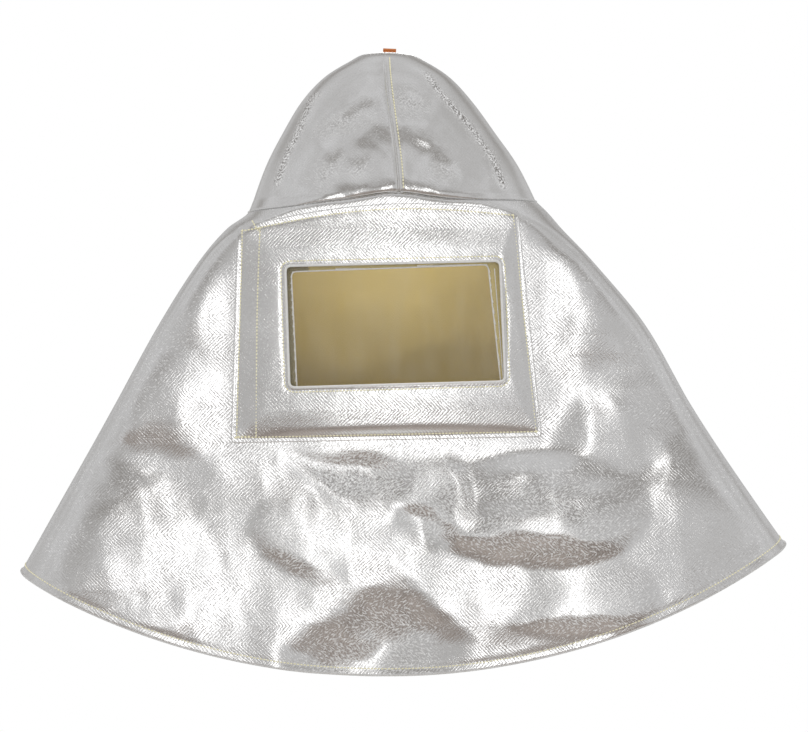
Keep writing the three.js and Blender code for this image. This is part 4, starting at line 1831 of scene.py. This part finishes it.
@dataclass
class Stitching:
    """Every line of pale yellow stitches: on the window, the crown and the hem."""

    form: HoodForm
    window: Window
    finishes: Finishes
    length: float = 2.9
    pitch: float = 3.3
    width: float = 1.45
    height: float = 1.0
    bead_size: tuple[float, ...] = (0.12, 0.8, 1.0, 0.8, 0.12)
    bead_place: tuple[float, ...] = (-0.5, -0.34, 0.0, 0.34, 0.5)
    bead_arch: tuple[float, ...] = (-0.45, 0.0, 0.18, 0.0, -0.45)
    patch_lift: float = 0.25
    edge_to_opening: float = 60.0
    opening_to_edge: float = 40.0
    tack_to_opening: float = 40.0
    second_off: Pair = (18.0, 25.0)
    second_line: tuple[Pair, ...] = ((-131.4, -382.0), (-130.4, -266.0), (-127.5, -177.0))
    tacks: tuple[tuple[str, Pair, Pair], ...] = (
        ("stitches_tack_top", (-135.0, -172.0), (-129.0, -181.0)),
        ("stitches_tack_low", (-150.0, -380.3), (-137.0, -380.0)),
    )
    crown_top: float = -8.0
    crown_low: float = -141.0
    crown_beside: float = 4.6
    crown_lift: float = 0.9
    hem_sunk: float = 0.45

    def stitches(self, name: str, path: Array, up: Array | None = None) -> Piece:
        """A line of stitches: small rounded beads, each a barrel of six sides closed at both ends.

        Args:
            name: The piece's name.
            path: Points of the line, on the cloth.
            up: Direction off the cloth at each point of the path.

        Returns:
            One piece that holds the whole line.
        """
        points, ahead = evenly(path, self.pitch)
        if up is None:
            off = self.form.front_normals(points[:, 0], points[:, 2])
        else:
            run = np.linspace(0.0, 1.0, len(up))
            off = along_path(up, run, np.linspace(0.0, 1.0, len(points)))
        across = np.cross(ahead, off)
        across /= np.linalg.norm(across, axis=1, keepdims=True)
        off = np.cross(across, ahead)
        turn = np.arange(6) * np.pi / 3.0
        size = np.array(self.bead_size)
        place = np.array(self.bead_place) * self.length
        arch = np.array(self.bead_arch) * self.height
        side = size[:, None] * np.cos(turn)[None] * self.width / 2.0
        rise = size[:, None] * np.sin(turn)[None] * self.height / 2.0 + arch[:, None]
        bead = (
            ahead[:, None, None] * place[None, :, None, None]
            + across[:, None, None] * side[None, ..., None]
            + off[:, None, None] * rise[None, ..., None]
        )
        all_points = points[:, None, None] + bead
        one = grid_faces(5, 6, True)
        caps = np.array([[0, 1, 2, 3], [3, 4, 5, 0], [27, 26, 25, 24], [24, 29, 28, 27]])
        one = np.concatenate([one, caps])
        faces = (np.arange(len(points))[:, None, None] * 30 + one[None]).reshape(-1, 4)
        return new_piece(name, all_points, faces, [self.finishes.thread])

    def on_patch(self, plan: Array, to_edge: float, to_opening: float) -> Array:
        """Points on the outer face of the window patch at places of the front view.

        Args:
            plan: The places, across and up.
            to_edge: Distance from the patch's edge.
            to_opening: Distance from its opening.

        Returns:
            The points.
        """
        along = np.zeros(len(plan))
        lift = self.window.outer_lift(plan, along + to_edge, along + to_opening, along)
        return self.form.front_points(plan[:, 0], plan[:, 1], lift + self.patch_lift)

    def inset(self, loop: Array, distance: float) -> Array:
        """A closed outline moved sideways: inwards if it runs clockwise and the distance is over zero.

        Args:
            loop: Points of the outline.
            distance: How far it moves.

        Returns:
            The moved outline.
        """
        ahead = np.roll(loop, -1, axis=0) - np.roll(loop, 1, axis=0)
        ahead /= np.linalg.norm(ahead, axis=1, keepdims=True)
        return loop + distance * np.stack([ahead[:, 1], -ahead[:, 0]], axis=1)

    def window_lines(self) -> None:
        """The patch's edge, the line round its opening, the second line on its left, and the tacks."""
        window = self.window
        edge = self.inset(window.outline(window.loop_points), window.edge_stitch)
        edge = np.concatenate([edge, edge[:1]])
        on_edge = self.on_patch(edge, window.edge_stitch, self.edge_to_opening)
        self.stitches("stitches_patch_edge", on_edge)
        hole = rounded_loop(window.opening, window.opening_corner, window.loop_points)
        hole = self.inset(hole, -window.opening_stitch)
        hole = np.concatenate([hole, hole[:1]])
        on_hole = self.on_patch(hole, self.opening_to_edge, window.opening_stitch)
        self.stitches("stitches_opening", on_hole)
        across, up = zip(*self.second_line)
        z = np.linspace(up[-1], up[0], 80)
        second = np.stack([Curve(up, across)(z), z], axis=1)
        self.stitches("stitches_patch_left", self.on_patch(second, *self.second_off))
        share = np.linspace(0.0, 1.0, 12)[:, None]
        for name, start, end in self.tacks:
            tack = np.asarray(start) * (1.0 - share) + np.asarray(end) * share
            on_tack = self.on_patch(tack, window.edge_stitch, self.tack_to_opening)
            self.stitches(name, on_tack)

    def crown_lines(self) -> None:
        """The topstitch on the right of the crown's centre seam, down its front."""
        z = np.linspace(self.crown_top, self.crown_low, 90)
        x = self.form.lean(z) + self.crown_beside
        self.stitches("stitches_crown", self.form.front_points(x, z, self.crown_lift))

    def hem_lines(self) -> None:
        """The hem's line, front and back."""
        for face in Face:
            angle = self.form.strip_angles(edge_shares(160, 14)[3:-3], face)
            z = self.form.meets(angle, self.form.hem_at) + Cape.hem_stitch
            out = np.array([0.0, face.outward * (self.form.seam_gap / 2.0 - self.hem_sunk), 0.0])
            path = self.form.points(angle, z, face) + out
            below = self.form.points(angle, z - 2.0, face) + out
            off = np.cross(below - path, np.gradient(path, axis=0))
            off /= np.linalg.norm(off, axis=1, keepdims=True)
            self.stitches(f"stitches_hem_{face.value}", path, off)

    def build(self) -> None:
        """Sews every line."""
        self.window_lines()
        self.crown_lines()
        self.hem_lines()


@dataclass
class Studio:
    """Plain pale floor, soft light from the front, and the camera at the photo's angle."""

    floor_level: float = -950.0
    floor_radius: float = 2600.0
    camera_at: Triple = (0.012, -4.0, -0.312)
    lens: float = 178.2
    surround: Colour = (0.66, 0.66, 0.665)
    surround_dark: Colour = (0.50, 0.495, 0.49)
    band_tone: Colour = (0.29, 0.275, 0.26)
    band_at: float = 0.41
    band_width: float = 0.08
    floor_paint: StudioPaint = StudioPaint("pale_floor", (0.80, 0.80, 0.79), (0.78, 0.78, 0.77))
    card_paint: StudioPaint = StudioPaint("brown_card", (0.50, 0.44, 0.40), (0.15, 0.125, 0.11))
    shade_paint: StudioPaint = StudioPaint("shade_card", (0.34, 0.30, 0.24), (0.30, 0.27, 0.21))
    card_half: float = 1700.0
    card_near: float = -560.0
    card_far: float = -3300.0
    card_lift: float = 20.0
    shade_half: Pair = (220.0, 90.0)
    shade_level: float = -640.0
    softbox: Pair = (0.24, 1.46)
    softbox_watts: float = 2.2

    def plane(self, name: str, corners: Array, material: Material) -> Piece:
        """A flat sheet of the stage from its outline.

        Args:
            name: Its name.
            corners: Points of the outline in millimetres.
            material: Its finish.

        Returns:
            The sheet.
        """
        mesh = bpy.data.meshes.new(name)
        mesh.from_pydata((corners * MM).tolist(), [], [list(range(len(corners)))])
        mesh.materials.append(material)
        sheet = bpy.data.objects.new(name, mesh)
        bpy.context.scene.collection.objects.link(sheet)
        return sheet

    def build_floor(self) -> None:
        """A round pale floor, dark cards on it before and behind, and one under the hem.

        Only reflections see the dark cards, and the one under the hem only shades the lining.
        """
        turn = np.radians(np.arange(96) * 3.75)
        ring = np.stack([np.cos(turn), np.sin(turn), 0.0 * turn], axis=1) * self.floor_radius
        ring[:, 2] = self.floor_level
        self.plane("floor", ring, self.floor_paint.material())
        x, y = np.array([-1, 1, 1, -1]) * self.card_half, np.repeat([self.card_far, self.card_near], 2)
        card = np.stack([x, y, np.full(4, self.floor_level + self.card_lift)], axis=1)
        brown = self.card_paint.material()
        for name, side in (("dark_card", 1.0), ("dark_card_behind", -1.0)):
            dark = self.plane(name, card * np.array([side, side, 1.0]), brown)
            dark.visible_camera = False
            dark.visible_diffuse = False
            dark.visible_shadow = False
        wide, deep = self.shade_half[0] * np.cos(turn), self.shade_half[1] * np.sin(turn)
        oval = np.stack([wide, deep, np.full(len(turn), self.shade_level)], axis=1)
        shade = self.plane("shade_card", oval, self.shade_paint.material())
        shade.visible_camera = False
        shade.visible_glossy = False

    def build_lights(self) -> None:
        """An upright soft light in front and one behind, and a small one inside for the lining."""
        for name, at, tilt, size, watts in (
            ("middle_softbox", (0.01, -2.6, -0.02), 90.0, self.softbox, self.softbox_watts),
            ("back_softbox", (0.01, 2.6, -0.02), -90.0, self.softbox, self.softbox_watts),
            ("lining_light", (0.0, -0.01, -0.075), 30.0, (0.15, 0.09), 0.36),
        ):
            light = bpy.data.lights.new(name, "AREA")
            light.shape = "RECTANGLE"
            light.size, light.size_y = size
            light.energy = watts
            lamp = bpy.data.objects.new(name, light)
            lamp.location, lamp.rotation_euler = at, (np.radians(tilt), 0.0, 0.0)
            lamp.visible_camera = False
            bpy.context.scene.collection.objects.link(lamp)

    def build_world(self) -> None:
        """White behind the hood, bright round its matt pieces, and grey for what the film reflects.

        The grey is cloudy. In front and behind it is darker in a band over the light: less a share of
        1 / (1 + t^2), t being the height over the band's middle in band widths.
        """
        world = bpy.data.worlds.new("studio")
        world.use_nodes = True
        bpy.context.scene.world = world
        graph = Graph(world.node_tree)
        ray = graph.node("ShaderNodeLightPath")
        seen, matt = (Signal(graph, ray.outputs[name]) for name in ("Is Camera Ray", "Is Diffuse Ray"))
        way = graph.node("ShaderNodeTexCoord").outputs["Generated"]
        axes = graph.node("ShaderNodeSeparateXYZ", None, {0: way})
        ahead, up = Signal(graph, axes.outputs[1]), Signal(graph, axes.outputs[2])
        off = (up - self.band_at) * (1.0 / self.band_width)
        facing = (ahead.size() * 3.0 - 1.6).clamp()
        inputs = {"Vector": way, "Scale": 2.2, "Detail": 2.0}
        cloud = Signal(graph, graph.node("ShaderNodeTexNoise", None, inputs).outputs[0])
        share = (cloud * 3.0 - 1.0).clamp()
        grey = graph.mix(share, self.surround_dark, self.surround)
        grey = graph.mix(facing / (off * off + 1.0), grey, self.band_tone)
        colour = graph.mix(seen, graph.mix(matt, grey, (0.95, 0.95, 0.95)), (1.0, 1.0, 1.0))
        back = graph.node("ShaderNodeBackground", None, {"Color": colour})
        graph.node("ShaderNodeOutputWorld", None, {"Surface": back.outputs[0]})

    def build_camera(self) -> None:
        """Level with the middle of the hood and square to its front."""
        camera = bpy.data.cameras.new("camera")
        camera.lens = self.lens
        camera.sensor_width = 36.0
        holder = bpy.data.objects.new("camera", camera)
        holder.location = self.camera_at
        holder.rotation_euler = (np.radians(90.0), 0.0, 0.0)
        bpy.context.scene.collection.objects.link(holder)
        bpy.context.scene.camera = holder
        bpy.context.scene.view_settings.view_transform = "Standard"

    def build(self) -> None:
        """Sets up the whole studio."""
        self.build_floor()
        self.build_lights()
        self.build_world()
        self.build_camera()


def main() -> None:
    """Builds the studio and the hood, piece by piece."""
    logging.basicConfig(level=logging.INFO, format="%(message)s")
    Studio().build()
    form, finishes = HoodForm(), Finishes()
    window = Window(form, finishes)
    Crown(form, finishes).build()
    Cape(form, finishes).build()
    window.build()
    Tab(finishes).build()
    Stitching(form, window, finishes).build()


if __name__ == "__main__":
    main()
